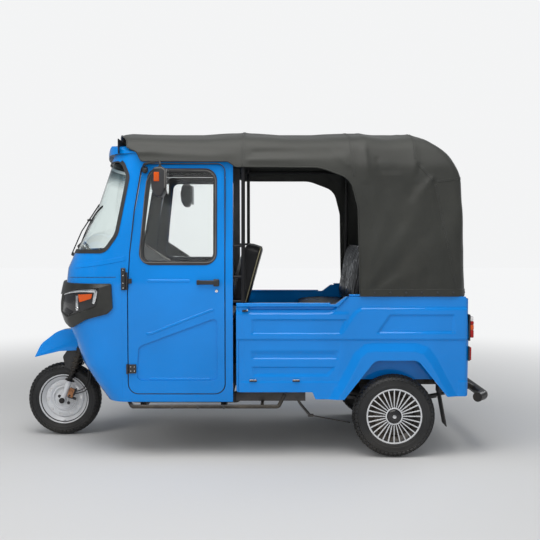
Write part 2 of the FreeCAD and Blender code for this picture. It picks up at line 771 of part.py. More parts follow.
rear_recess = along_y(rear_recess_outline, -base_y - 5, -base_y + 6)
bed_side = joined([side_panel, top_rail, rail_lip, high_rail, flare] + ribs).cut(rear_recess)
export("bed_sides", both(bed_side))

# tailgate, lamps, bumper and mud flaps
gate_half_width = bed_inner_y - 20
gate_bottom = bed_floor_z + 24
gate_top = 985.0
gate_front_x = bed_rear_x - 22.0
gate = box((gate_front_x, gate_front_x + 24), (-gate_half_width, gate_half_width), (gate_bottom, gate_top))
gate_ribs = [soft_box((gate_front_x + 23, gate_front_x + 31), (-gate_half_width + 60, gate_half_width - 60),
                      (z - 30, z + 30), 3) for z in (600, 740, 880)]
gate_hinge_x = gate_front_x + 12.0
gate_hinge_z = gate_bottom - 8.0
hinge_rows_y = (-380, 0, 380)
hinge_half = 40.0
hinge_pin_radius = 4.5


def hinge_bar(y, half, radius):
    return pin(V(gate_hinge_x, y - half, gate_hinge_z), V(gate_hinge_x, y + half, gate_hinge_z), radius)


gate_knuckles = [hinge_bar(y, hinge_half, 8) for y in hinge_rows_y]
gate_pins = [hinge_bar(y, hinge_half + 16, hinge_pin_radius) for y in hinge_rows_y]
gate_leaves = [box((gate_front_x + 4, gate_front_x + 20), (y - hinge_half, y + hinge_half),
                   (gate_hinge_z, gate_bottom + 4)) for y in hinge_rows_y]
gate_bores = [hinge_bar(y, hinge_half + 20, hinge_pin_radius + pin_gap) for y in hinge_rows_y]
gate_notches = [box((gate_front_x - 5, gate_front_x + 40),
                    (y + way * (hinge_half + 10) - 9, y + way * (hinge_half + 10) + 9),
                    (gate_bottom - 20, gate_bottom + 6)) for y in hinge_rows_y for way in (-1, 1)]
export("tailgate", joined([gate] + gate_ribs + gate_leaves + gate_knuckles).cut(gate_bores + gate_notches))
sill = box((bed_rear_x - 23.5, bed_rear_x + 6), (-bed_inner_y + seat_gap, bed_inner_y - seat_gap),
           (bed_floor_z - 40, bed_floor_z - 2))
sill_lugs = [box((gate_hinge_x - 8, gate_hinge_x + 8),
                 (y + way * (hinge_half + 8) - 7, y + way * (hinge_half + 8) + 7),
                 (bed_floor_z - 3, gate_hinge_z + 8)) for y in hinge_rows_y for way in (-1, 1)]
sill = joined([sill.cut([frame, bed_floor])] + sill_lugs + gate_pins)
lamp_y = bed_inner_y + 10
lamp_room = along_y(inset(side_outline, -seat_gap), -wide, wide)
tail_lamp = soft_box((bed_rear_x - 30, bed_rear_x + 30), (-lamp_y - 14, -lamp_y + 22), (745, 880), 8)
reflector = soft_box((bed_rear_x - 20, bed_rear_x + 9), (-lamp_y - 12, -lamp_y + 20), (605, 690), 3)
tail_lamp = tail_lamp.cut(lamp_room)
reflector = reflector.cut(lamp_room)
export("tail_lamps", both(tail_lamp, reflector))
bumper_z = 369.0
bumper_radius = 30.0
bumper_x = bumper_rear_x - bumper_radius
bumper = rod([V(bumper_x - 60, -560, bumper_z), V(bumper_x, -480, bumper_z), V(bumper_x, 480, bumper_z),
              V(bumper_x - 60, 560, bumper_z)], bumper_radius, 60)
struts = [rod([V(bed_rear_x + 20 + seat_gap, y, 430), V(bumper_x, y, bumper_z)], 16)
          for y in (-rail_y, rail_y)]
export("rear_bumper", [joined([bumper] + struts).cut(frame), sill])
flap_x = rear_axle_x + 283.0
flap = along_y([(flap_x, 402), (flap_x + 6, 402), (flap_x + 46, 190), (flap_x + 40, 190)], -bed_inner_y + 2,
               -tub_inner_y)
flap_holder = box((flap_x - 4, flap_arm_x - outrigger_half - seat_gap), (-575, -480),
                  (396, rail_high[1] - 8))
flap = joined([flap, flap_holder])
export("mud_flaps", both(flap))

# canopy and its hoops
front_plan = cab_section(900, canopy_front_x, canopy_half_width, 120, canopy_rear_x + 50)
front_edge = Part.Face(front_plan).extrude(V(0, 0, 1400))
canopy = canopy_solid(0, 0).common(front_edge).cut(canopy_solid(canopy_wall, 60))
arch_x = rear_axle_x - 216.0
side_arch = [
    (canopy_front_x - 100, 900),
    (arch_x, 900),
    (arch_x - 14, 1540, 120),
    (arch_x - 60, 1720, 120),
    (arch_x - 250, 1792, 200),
    (cab_rear_x + 20, 1792, 30),
    (cab_rear_x - 30, 1828, 30),
    (front_axle_x + 632, 1828, 16),
    (front_axle_x + 602, 1884, 30),
    (front_axle_x + 514, 1932),
    (canopy_front_x - 100, 2034),
]
canopy = canopy.cut(along_y(side_arch, -wide, wide))
rear_window = along_x([(-330, 1330, 60), (-330, 1700, 60), (330, 1700, 60), (330, 1330, 60)],
                      canopy_rear_x - 200,
                      canopy_rear_x + 50)
canopy = canopy.cut(rear_window)
export("canopy", canopy)

hoop_depth = canopy_wall + hoop_radius + seat_gap
hoop_rows = inset(canopy_front, hoop_depth)[1:-1]
canopy_room = canopy_solid(canopy_wall, 60)


# a bow across the vehicle, its crown just under the cloth at this station
def hoop(x, foot):
    lines = [Part.LineSegment(V(x + way * hoop_radius, 0, 1500),
                              V(x + way * hoop_radius, 0, 2500)).toShape()
             for way in (-1, 1)]
    crown = min(line.common(canopy_room).BoundBox.ZMax for line in lines) - hoop_radius - seat_gap
    level = [(V(x, y, z), max(r, 1)) for y, z, r in hoop_rows]
    drop = bent_wire(level, closed=False).BoundBox.ZMax - crown
    rows = [(V(x, y, z - drop if z > 1500 else foot - hoop_radius), max(r, 1)) for y, z, r in hoop_rows]
    ring = Part.Wire(Part.makeCircle(hoop_radius, rows[0][0], rows[1][0] - rows[0][0]))
    bow = bent_wire(rows, closed=False).makePipeShell([ring], True, True)
    return bow.cut(box((x - 50, x + 50), (-wide, wide), (foot - 50, foot)))


post_x = cab_rear_x + 64.0
rail_top = 958.0
high_rail_top = 1019.0
hoops = [hoop(post_x, rail_top + seat_gap), hoop(arch_x + 30, high_rail_top + seat_gap),
         hoop(rear_axle_x + 120, high_rail_top + seat_gap)]
side_rail_y = canopy_half_width - 26 - hoop_depth - 24
side_rails = both(rod([V(cab_rear_x + seat_gap, -side_rail_y, 1850),
                       V(rear_axle_x + 120, -side_rail_y, 1850)], 10))
rung_radius = 8.0
rung_rows = [(1310, 586), (1120, 592), (rail_top + rung_radius + 2, 592)]
rungs = []
for z, y in rung_rows:
    rungs += both(rod([V(cab_rear_x + seat_gap, -y, z), V(post_x, -y, z)], rung_radius))
export("canopy_frame", joined(hoops + side_rails + rungs))

# seats
base_top = 800.0
seat_base_half = 480.0
driver_base = box((cab_rear_x - 400, cab_rear_x - 21), (-seat_base_half, seat_base_half),
                  (floor_top + seat_gap, base_top))
driver_base = driver_base.cut(box((cab_rear_x - 388, cab_rear_x + 10),
                                  (-seat_base_half + 12, seat_base_half - 12),
                                  (floor_top - 10, base_top - 12)))
bench_front_x = rear_axle_x - 560.0
bench_base = box((bench_front_x + 20, rear_axle_x - 120), (-440, 440),
                 (bed_floor_z + sheet + 7 + seat_gap, 800))
bench_base = bench_base.cut(box((bench_front_x + 32, rear_axle_x - 132), (-428, 428), (bed_floor_z, 788)))
back_stay = joined(both(rod([V(rear_axle_x - 140, -420, 790), V(rear_axle_x - 95, -420, 1180)], 12)))
export("seat_bases", [driver_base, joined([bench_base, back_stay])])
driver_cushion = soft_box((cab_rear_x - 420, cab_rear_x - 22), (-490, 490), (base_top + seat_gap, 905), 30)
lean_rows = [(cab_rear_x - 20, 906, 20), (cab_rear_x + 66, 906, 20), (cab_rear_x + 172, 1300, 30),
             (cab_rear_x + 98, 1318, 30)]
driver_back = along_y(lean_rows, -430, 430)
bench_cushion = soft_box((bench_front_x, rear_axle_x - 150), (-570, 570), (800 + seat_gap, 915), 30)
bench_rows = [(rear_axle_x - 250, 915 + seat_gap, 20), (rear_axle_x - 160, 915 + seat_gap, 20),
              (rear_axle_x - 110, 1300, 30), (rear_axle_x - 182, 1312, 30)]
bench_back = along_y(bench_rows, -560, 560)
export("seats", [driver_cushion, driver_back, bench_cushion, bench_back])

# steering: stem, clamps, sliders, coil springs and caliper
leg_y = 78.0
clamp_z = 754.0
stem = pin(on_axis(clamp_z - 4), on_axis(1090), stem_radius)
clamp = on_axis(clamp_z)
lower_clamp = pin(on_axis(clamp_z - 16), on_axis(clamp_z + 16), 34).fuse(
    box((clamp.x - 30, clamp.x + 30), (-leg_y - 20, leg_y + 20), (clamp.z - 14, clamp.z + 14)))
slider_radius = 19.5
slider_top = 385.0
spring_span = (396.0, 700.0)
spring_radius = 27.0
coil_count = 9
coil_height = 14.0


def fork_leg(y):
    shift = V(0, y, 0)
    pieces = [
        pin(front_axle + shift - rake_direction * 30, on_axis(slider_top) + shift, slider_radius),
        pin(on_axis(slider_top - 10) + shift, on_axis(clamp_z + 6) + shift, 17),
        pin(on_axis(spring_span[0] - 8) + shift, on_axis(spring_span[0]) + shift, 30),
        pin(on_axis(spring_span[1]) + shift, on_axis(spring_span[1] + 12) + shift, 30),
    ]
    pitch = (spring_span[1] - spring_span[0] - coil_height) / (coil_count - 1)
    for index in range(coil_count):
        low = spring_span[0] + pitch * index
        pieces.append(pin(on_axis(low) + shift, on_axis(low + coil_height) + shift, spring_radius))
    return joined(pieces)


front_axle_radius = 12.0
axle_bolt = pin(V(front_axle_x, -leg_y - 26, front_tyre_radius),
                V(front_axle_x, leg_y + 26, front_tyre_radius),
                front_axle_radius)
caliper = soft_box((front_axle_x + 40, front_axle_x + 92), (-leg_y - 12, -leg_y + 16),
                   (front_tyre_radius + 10, front_tyre_radius + 84), 6)
export("fork", joined([stem, lower_clamp, fork_leg(-leg_y), fork_leg(leg_y), axle_bolt, caliper]))
bar_centre = on_axis(1085)
bars = both(rod([bar_centre, bar_centre + V(10, -70, 60), bar_centre + V(60, -200, 95),
                 bar_centre + V(110, -330, 80)], 12, 25))
bar_hub = pin(on_axis(1060) , on_axis(1100), 28)
handlebar = joined(bars + [bar_hub]).cut(stem)
export("handlebar", handlebar)
guard_half_width = 76.0
guard_wall = 7.0
guard_tip = V(front_axle_x - 188, 0, 545)
guard_rows = [
    (guard_tip.x, guard_tip.z, 3),
    (front_axle_x - 152, 632, 90),
    (front_axle_x - 28, 730, 160),
    (front_axle_x + 84, 732, 60),
    (front_axle_x + 128, 680, 30),
    (front_axle_x + 126, 593, 8),
    (front_axle_x - 17, 586, 60),
]
guard_crease = V(288, 0, 122)
guard_lean = [(-guard_half_width, 0), (-guard_half_width + 52, 118), (-160, 118), (-160, 0)]


# the wedge taken off above the crease, so that the side leans in to the crest
def guard_wedge(depth):
    face = Part.Face(bent_wire(placed(guard_lean, lambda y, z: guard_tip + V(-10, y + depth, z - depth))))
    return face.extrude(guard_crease * 1.3)


guard = along_y(guard_rows, -guard_half_width, guard_half_width).cut(both(guard_wedge(0)))
guard_inner = [
    (guard_tip.x + 26, guard_tip.z - 40),
    (front_axle_x - 146, 620, 80),
    (front_axle_x - 26, 722, 150),
    (front_axle_x + 80, 724, 50),
    (front_axle_x + 121, 676, 24),
    (front_axle_x + 119, guard_tip.z - 40),
]
guard_room = along_y(guard_inner, -guard_half_width + guard_wall, guard_half_width - guard_wall)
guard_room = guard_room.cut(both(guard_wedge(guard_wall)))
spring_room = spring_radius + seat_gap
leg_room = [pin(on_axis(500) + V(0, y, 0), on_axis(820) + V(0, y, 0), radius)
            for y, radius in ((-leg_y, spring_room), (0, 36), (leg_y, spring_room))]
guard = guard.cut([guard_room] + leg_room)
export("front_mudguard", guard)

# wheels
def tyre(centre, radius, width):
    bead = rim_flange_radius - 16
    half = width / 2
    rows = [(bead, -half + 14, 0), (bead + 18, -half + 8, 0), (bead + 46, -half, 30),
            (radius - 34, -half, 26),
            (radius - 8, -half + 22, 14), (radius, -half + 46, 60),
            (radius, half - 46, 60), (radius - 8, half - 22, 14), (radius - 34, half, 26), (bead + 46, half,
                                                                                            30),
            (bead + 18, half - 8, 0), (bead, half - 14, 0)]
    return turned(rows, centre)


def rim_barrel(centre, width):
    half = width / 2 - 14 + seat_gap
    flange = rim_flange_radius
    seat = rim_flange_radius - 16 - seat_gap
    rows = [(seat, -half, 0), (flange - 4, -half - 6, 0), (flange - 2, -half - 10, 0),
            (seat - 6, -half - 8, 0),
            (seat - 10, -half + 4, 0), (seat - 22, -half + 24, 0), (seat - 22, half - 24, 0), (seat - 10,
                                                                                               half - 4, 0),
            (seat - 6, half + 8, 0), (flange - 2, half + 10, 0), (flange - 4, half + 6, 0), (seat, half, 0)]
    return turned(rows, centre)


disc_hole_count = 10
disc_hole_radius = 114.0


def disc_wheel(centre, width):
    barrel = rim_barrel(centre, width)
    inner = rim_flange_radius - 36
    bore = front_axle_radius + pin_gap
    disc = turned([(bore, -34), (32, -34, 4), (32, -18), (60, -18, 6), (100, -4, 10), (inner + 2, -12),
                   (inner + 2, -4),
                   (100, 3, 10), (60, -10, 6), (32, -6), (32, 34), (bore, 34)], centre)
    slot = [(centre.x + disc_hole_radius + way * 9, centre.z + up * 15.5, 8.9)
            for way, up in ((-1, -1), (1, -1), (1, 1), (-1, 1))]
    first = along_y(slot, -40, 40)
    holes = []
    for index in range(disc_hole_count):
        hole = first.copy()
        hole.rotate(centre, V(0, 1, 0), 360.0 * index / disc_hole_count)
        holes.append(hole)
    return barrel.fuse(disc).cut(holes)


spoke_count = 28
spoke_inner = 50.0
spoke_half_width = 3.6
spoke_span = (30.0, 39.0)


# flat spokes behind the outer lip of the barrel, from a flange on the hub
def spoked_wheel(centre, width, outward):
    barrel = rim_barrel(centre, width)
    bore = hub_inner / 2 + pin_gap
    near, far = spoke_span
    hub = turned([(bore, -42), (62, -42, 4), (62, 6), (44, 18, 8), (spoke_inner + 4, near - 2),
                  (spoke_inner + 4, far + 3, 3),
                  (43, far + 3), (43, far + 8, 3), (bore, far + 8)], centre)
    spoke_outer = rim_flange_radius - 24
    arm = [(centre.x + spoke_inner, centre.z - spoke_half_width),
           (centre.x + spoke_outer, centre.z - spoke_half_width),
           (centre.x + spoke_outer, centre.z + spoke_half_width), (centre.x + spoke_inner,
                                                                   centre.z + spoke_half_width)]
    first = along_y(arm, centre.y + near, centre.y + far)
    spokes = []
    for index in range(spoke_count):
        spoke = first.copy()
        spoke.rotate(centre, V(0, 1, 0), 360.0 * index / spoke_count)
        spokes.append(spoke)
    wheel = barrel.fuse([hub] + spokes)
    return wheel if outward > 0 else wheel.mirror(centre, V(0, 1, 0))


export("front_tyre", tyre(front_axle, front_tyre_radius, front_tyre_width))
export("front_rim", disc_wheel(front_axle, front_tyre_width))
for side, sign in (("left", -1), ("right", 1)):
    centre = V(rear_axle_x, sign * wheel_y, axle_z)
    export("rear_tyre_" + side, tyre(centre, rear_tyre_radius, rear_tyre_width))
    export("rear_rim_" + side, spoked_wheel(centre, rear_tyre_width, sign))
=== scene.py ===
import math

import bmesh
import bpy
from mathutils import Matrix, Vector, noise
from mathutils.bvhtree import BVHTree


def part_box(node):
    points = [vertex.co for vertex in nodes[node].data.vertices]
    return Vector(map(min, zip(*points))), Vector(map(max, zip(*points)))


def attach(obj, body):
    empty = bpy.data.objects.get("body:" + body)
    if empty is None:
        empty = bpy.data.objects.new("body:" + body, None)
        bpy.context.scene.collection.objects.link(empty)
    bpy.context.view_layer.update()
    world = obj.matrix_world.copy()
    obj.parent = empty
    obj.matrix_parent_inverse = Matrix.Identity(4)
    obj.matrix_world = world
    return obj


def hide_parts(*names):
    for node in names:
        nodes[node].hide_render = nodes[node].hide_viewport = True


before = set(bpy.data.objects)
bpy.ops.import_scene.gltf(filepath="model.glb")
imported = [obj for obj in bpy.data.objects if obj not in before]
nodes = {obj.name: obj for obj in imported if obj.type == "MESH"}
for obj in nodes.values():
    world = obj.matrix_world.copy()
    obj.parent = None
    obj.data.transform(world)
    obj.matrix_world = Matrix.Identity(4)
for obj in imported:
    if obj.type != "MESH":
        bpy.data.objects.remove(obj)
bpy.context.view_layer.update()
print("frame loaded:", len(nodes), "nodes")


def middleOf(node):
    low, high = (Vector(corner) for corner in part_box(node))
    return (low + high) / 2


# places read from the frame
axleFront = middleOf("front_rim")
axleRearLeft = middleOf("rear_rim_left")
steeringRake = math.radians(20)
bothSides = ("left", "right")
mergeReach = 0.00001


# mesh helpers
def roundedPath(corners, closed=True, step=8):
    # straight runs with an arc at each (a, b, radius) corner
    path = []
    count = len(corners)
    for index, (a, b, radius) in enumerate(corners):
        here = Vector((a, b))
        if radius <= 0 or (not closed and index in (0, count - 1)):
            path.append(here)
            continue
        toBack = (Vector(corners[index - 1][:2]) - here).normalized()
        toNext = (Vector(corners[(index + 1) % count][:2]) - here).normalized()
        half = toBack.angle(toNext) / 2
        centre = here + (toBack + toNext).normalized() * (radius / math.sin(half))
        start = here + toBack * (radius / math.tan(half)) - centre
        sweep = math.pi - 2 * half
        turn = 1 if toBack.x * toNext.y - toBack.y * toNext.x < 0 else -1
        pieces = max(2, round(math.degrees(sweep) / step))
        for k in range(pieces + 1):
            angle = turn * sweep * k / pieces
            path.append(centre + Matrix.Rotation(angle, 2) @ start)
    return path


def roundedBox(long, wide, radius, step=8):
    # a rectangle with round corners about the origin
    half, side = long / 2, wide / 2
    corners = [(-half, -side, radius), (half, -side, radius), (half, side, radius), (-half, side, radius)]
    return roundedPath(corners, step=step)


def circlePoints(place, radius, count):
    # a ring of points about the middle of a placed plane
    angles = [math.tau * k / count for k in range(count)]
    return [place @ Vector((radius * math.cos(angle), radius * math.sin(angle), 0)) for angle in angles]


def between(first, second, t):
    # the row a share of the way from one to the other
    return [a + (b - a) * t for a, b in zip(first, second)]


def vertsOf(made):
    return [item for item in made["geom"] if isinstance(item, bmesh.types.BMVert)]


def everythingIn(bm):
    return bm.verts[:] + bm.edges[:] + bm.faces[:]


def objectOf(name, bm, material=None):
    # a bmesh becomes a scene object
    mesh = bpy.data.meshes.new(name)
    bm.to_mesh(mesh)
    bm.free()
    made = bpy.data.objects.new(name, mesh)
    bpy.context.scene.collection.objects.link(made)
    if material is not None:
        mesh.materials.append(material)
    return made


def meshOf(shown):
    # a scene object goes back into a bmesh
    bm = bmesh.new()
    bm.from_mesh(shown.data)
    bpy.data.objects.remove(shown)
    return bm


def finishPiece(name, bm, body, material, slotName, sharpAngle=35, paired=False):
    # a bmesh becomes a shown piece that rides on its body, with its mirror image where it is paired
    if paired:
        mirrorAcross(bm)
    limit = math.radians(sharpAngle)
    for face in bm.faces:
        face.smooth = True
    for edge in bm.edges:
        edge.smooth = len(edge.link_faces) == 2 and edge.calc_face_angle(0) < limit
    piece = objectOf(name, bm, material)
    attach(piece, body)
    return piece


def turnedLine(profile, centre, steps, closed=True):
    # a (radius, y) line turned about the line along Y through the centre
    bm = bmesh.new()
    verts = [bm.verts.new(centre + Vector((radius, y, 0))) for radius, y in profile]
    pairs = list(zip(verts, verts[1:])) + ([(verts[-1], verts[0])] if closed else [])
    edges = [bm.edges.new(pair) for pair in pairs]
    bmesh.ops.spin(bm, geom=verts + edges, cent=centre, axis=(0, 1, 0), angle=math.tau, steps=steps,
                   use_merge=True)
    bmesh.ops.remove_doubles(bm, verts=bm.verts, dist=mergeReach)
    bmesh.ops.recalc_face_normals(bm, faces=bm.faces)
    return bm


def bevelEdges(bm, edges, offset, segments=2):
    bmesh.ops.bevel(bm, geom=edges, offset=offset, segments=segments, profile=0.5, affect="EDGES",
                    material=-1)


def faceGrid(bm, grid):
    # faces between neighbouring columns of vertices
    for first, second in zip(grid, grid[1:]):
        for k in range(len(first) - 1):
            bm.faces.new((first[k], second[k], second[k + 1], first[k + 1]))


def pullRim(bm, depth):
    # walls grown from the open rim to the depth given for each y
    rim = [edge for edge in bm.edges if edge.is_boundary]
    for vert in vertsOf(bmesh.ops.extrude_edge_only(bm, edges=rim)):
        vert.co.y = depth(vert.co.y)


def addPrism(bm, path, place, push):
    # a flat outline placed in space and pushed into a solid
    verts = [bm.verts.new(place(point)) for point in path]
    face = bm.faces.new(verts)
    made = bmesh.ops.extrude_face_region(bm, geom=[face])
    bmesh.ops.translate(bm, verts=vertsOf(made), vec=push)
    bmesh.ops.recalc_face_normals(bm, faces=bm.faces)


def addBlock(bm, centre, size, bevel=0, segments=2, turn=None):
    # a box with rounded edges
    part = bmesh.new()
    bmesh.ops.create_cube(part, size=1)
    bmesh.ops.scale(part, vec=size, verts=part.verts)
    if bevel:
        bevelEdges(part, part.edges[:], bevel, segments)
    if turn is not None:
        bmesh.ops.transform(part, matrix=turn, verts=part.verts)
    bmesh.ops.translate(part, verts=part.verts, vec=centre)
    joinInto(bm, part)


def joinInto(bm, part):
    # moves a part's mesh into another bmesh
    held = bpy.data.meshes.new("held")
    part.to_mesh(held)
    part.free()
    bm.from_mesh(held)
    bpy.data.meshes.remove(held)


def addAll(bm, add, rows):
    # one shape for each row of settings
    for row in rows:
        add(bm, *row)


def addBall(bm, centre, radius, segments, rings):
    part = bmesh.new()
    bmesh.ops.create_uvsphere(part, u_segments=segments, v_segments=rings, radius=radius)
    bmesh.ops.translate(part, verts=part.verts, vec=centre)
    joinInto(bm, part)


def addRound(bm, start, end, radius, radiusEnd=None, sides=20, bevel=0):
    # a cylinder or cone between two points
    start, end = Vector(start), Vector(end)
    part = bmesh.new()
    top = radius if radiusEnd is None else radiusEnd
    bmesh.ops.create_cone(part, segments=sides, radius1=radius, radius2=top, depth=(end - start).length,
                          cap_ends=True)
    if bevel:
        rims = [edge for edge in part.edges if any(len(face.verts) > 4 for face in edge.link_faces)]
        bevelEdges(part, rims, bevel)
    turn = (end - start).to_track_quat("Z", "Y").to_matrix().to_4x4()
    bmesh.ops.transform(part, matrix=Matrix.Translation((start + end) / 2) @ turn, verts=part.verts)
    joinInto(bm, part)


def addTube(bm, points, radius, sides=10, closed=False):
    # a round section swept along a line of points
    part = bmesh.new()
    points = [Vector(point) for point in points]
    count = len(points)
    rings = []
    side = None
    for index, point in enumerate(points):
        before = points[index - 1] if index or closed else point
        after = points[(index + 1) % count] if index < count - 1 or closed else point
        ahead = (after - before).normalized()
        if side is None:
            side = ahead.orthogonal().normalized()
        side = (side - ahead * side.dot(ahead)).normalized()
        up = ahead.cross(side)
        ring = []
        for k in range(sides):
            angle = math.tau * k / sides
            ring.append(part.verts.new(point + (side * math.cos(angle) + up * math.sin(angle)) * radius))
        rings.append([part.edges.new((ring[k - 1], ring[k])) for k in range(sides)])
    for index in range(count if closed else count - 1):
        bmesh.ops.bridge_loops(part, edges=rings[index] + rings[(index + 1) % count])
    if not closed:
        bmesh.ops.holes_fill(part, edges=part.edges[:], sides=0)
    bmesh.ops.recalc_face_normals(part, faces=part.faces)
    joinInto(bm, part)


def bolt(bm, spot, away, radius=0.007, height=0.005):
    # a flanged hexagon head
    spot, away = Vector(spot), Vector(away).normalized()
    addRound(bm, spot - away * 0.001, spot + away * height * 0.3, radius * 1.45, sides=16)
    addRound(bm, spot, spot + away * height, radius, sides=6, bevel=radius * 0.12)


def mirrorAcross(bm):
    # adds the same pieces on the vehicle's other side
    made = bmesh.ops.duplicate(bm, geom=everythingIn(bm))
    bmesh.ops.scale(bm, vec=(1, -1, 1), verts=vertsOf(made))
    faces = [item for item in made["geom"] if isinstance(item, bmesh.types.BMFace)]
    bmesh.ops.reverse_faces(bm, faces=faces)


def treeOf(*names):
    # a ray tree of the shapes of some nodes
    bm = bmesh.new()
    for name in names:
        part = bmesh.new()
        part.from_mesh(nodes[name].data)
        bmesh.ops.transform(part, matrix=nodes[name].matrix_world, verts=part.verts)
        joinInto(bm, part)
    tree = BVHTree.FromBMesh(bm)
    bm.free()
    return tree


# where rays towards the near side start, and where its skin lies
nearSide = {"outside": -1.2, "skin": -0.6}


def layPoint(tree, x, z, lift=0.0):
    # a point on the near side's surface and its outward normal
    spot, normal = tree.ray_cast(Vector((x, nearSide["outside"], z)), Vector((0, 1, 0)))[:2]
    if spot is None:
        spot, normal = tree.find_nearest(Vector((x, nearSide["skin"], z)))[:2]
    return spot + normal * lift, normal


def layLine(tree, pairs, spacing=0.008, lift=0.0):
    # a line of (x, z) points laid on the near side's surface
    dense = []
    for first, second in zip(pairs, pairs[1:]):
        pieces = max(1, round(math.dist(first, second) / spacing))
        dense += [between(first, second, k / pieces) for k in range(pieces)]
    laid = [layPoint(tree, x, z, lift) for x, z in dense + [pairs[-1]]]
    return [spot for spot, normal in laid], [normal for spot, normal in laid]


def layPatch(bm, tree, low, high, reach, rows=5, spacing=0.010):
    # a panel between two lines of (x, z, rise) points, laid on the near side
    part = bmesh.new()
    grid = []
    for index in range(len(low) - 1):
        ends = [(line[index], line[index + 1]) for line in (low, high)]
        span = max(math.dist(start[:2], end[:2]) for start, end in ends)
        pieces = max(1, round(span / spacing))
        last = index == len(low) - 2
        for k in range(pieces + last):
            start, end = [between(*pair, k / pieces) for pair in ends]
            column = []
            for row in range(rows + 1):
                x, z, rise = between(start, end, row / rows)
                spot, normal = layPoint(tree, x, z)
                column.append(part.verts.new(spot + normal * (reach(normal) + rise)))
            grid.append(column)
    faceGrid(part, grid)
    part.normal_update()
    if sum(face.normal.y for face in part.faces) > 0:
        bmesh.ops.reverse_faces(part, faces=part.faces[:])
    joinInto(bm, part)


# node helpers
def addNode(tree, kind, inputs=None, **settings):
    made = tree.nodes.new(kind)
    for key, value in settings.items():
        setattr(made, key, value)
    for key, value in (inputs or {}).items():
        if isinstance(value, bpy.types.NodeSocket):
            tree.links.new(value, made.inputs[key])
        else:
            made.inputs[key].default_value = value
    return made


def mixColour(tree, factor, first, second):
    made = addNode(tree, "ShaderNodeMix", {0: factor, 6: first, 7: second}, data_type="RGBA",
                   blend_type="MIX")
    return made.outputs[2]


def calc(tree, operation, first, second=0.0, clamp=False):
    made = addNode(tree, "ShaderNodeMath", {0: first, 1: second}, operation=operation, use_clamp=clamp)
    return made.outputs[0]


def times(tree, first, second, clamp=False):
    return calc(tree, "MULTIPLY", first, second, clamp)


def plus(tree, first, second, clamp=False):
    return calc(tree, "ADD", first, second, clamp)


def noiseField(tree, point, scale, detail, **more):
    settings = {"Vector": point, "Scale": scale, "Detail": detail, **more}
    return addNode(tree, "ShaderNodeTexNoise", settings).outputs[0]


def toned(colour, gain, lift=0.0):
    # a lighter or darker shade of a colour, with alpha
    return tuple(min(1, channel * gain + lift) for channel in colour) + (1,)


def remap(tree, value, low, high, toLow=0.0, toHigh=1.0):
    made = addNode(tree, "ShaderNodeMapRange", {0: value, 1: low, 2: high, 3: toLow, 4: toHigh})
    return made.outputs[0]


def startGroup(name, inputs, outputs):
    # a shader group with (socket name, kind, default) rows
    tree = bpy.data.node_groups.new(name, "ShaderNodeTree")
    for label, kind, default in inputs:
        socket = tree.interface.new_socket(name=label, in_out="INPUT", socket_type=kind)
        socket.default_value = default
    for label, kind in outputs:
        tree.interface.new_socket(name=label, in_out="OUTPUT", socket_type=kind)
    return tree, tree.nodes.new("NodeGroupInput"), tree.nodes.new("NodeGroupOutput")


def objectPoint(tree):
    return tree.nodes.new("ShaderNodeTexCoord").outputs["Object"]


number, direction = "NodeSocketFloat", "NodeSocketVector"


def makeDustGroup():
    # road dust that thins out upwards, in cloudy patches
    tree, given, out = startGroup("roadDust", [("Amount", number, 0.5), ("Top", number, 0.9)],
                                  [("Mask", number)])
    point = objectPoint(tree)
    height = addNode(tree, "ShaderNodeSeparateXYZ", {0: point}).outputs[2]
    near = remap(tree, height, 0.1, given.outputs["Top"], 1.0, 0.0)
    cloud = noiseField(tree, point, 3.5, 6.0, Roughness=0.62)
    speck = noiseField(tree, point, 90.0, 3.0)
    patch = times(tree, remap(tree, cloud, 0.35, 0.75), remap(tree, speck, 0.3, 0.7, 0.6, 1.0))
    mask = times(tree, times(tree, near, patch), given.outputs["Amount"], clamp=True)
    tree.links.new(mask, out.inputs["Mask"])
    return tree


def makeEdgeGroup():
    # worn edges: where a softened normal leaves the true one
    tree, given, out = startGroup("wornEdge", [("Radius", number, 0.003), ("Break", number, 25.0)],
                                  [("Mask", number), ("Normal", direction)])
    soft = addNode(tree, "ShaderNodeBevel", {"Radius": given.outputs["Radius"]}, samples=4)
    true = tree.nodes.new("ShaderNodeNewGeometry").outputs["Normal"]
    agree = addNode(tree, "ShaderNodeVectorMath", {0: soft.outputs[0], 1: true}, operation="DOT_PRODUCT")
    edge = remap(tree, agree.outputs["Value"], 0.99, 0.86)
    flaw = noiseField(tree, objectPoint(tree), given.outputs["Break"], 5.0)
    mask = times(tree, edge, remap(tree, flaw, 0.45, 0.65), clamp=True)
    tree.links.new(mask, out.inputs["Mask"])
    tree.links.new(soft.outputs[0], out.inputs["Normal"])
    return tree


def makeGrainGroup():
    # moulded grain: small pebbles, and a cloudy tone
    tree, given, out = startGroup("mouldGrain", [("Scale", number, 400.0)],
                                  [("Height", number), ("Tone", number)])
    point = objectPoint(tree)
    settings = {"Vector": point, "Scale": given.outputs["Scale"]}
    pebble = addNode(tree, "ShaderNodeTexVoronoi", settings, feature="SMOOTH_F1")
    tree.links.new(pebble.outputs["Distance"], out.inputs["Height"])
    tree.links.new(noiseField(tree, point, 9.0, 5.0), out.inputs["Tone"])
    return tree


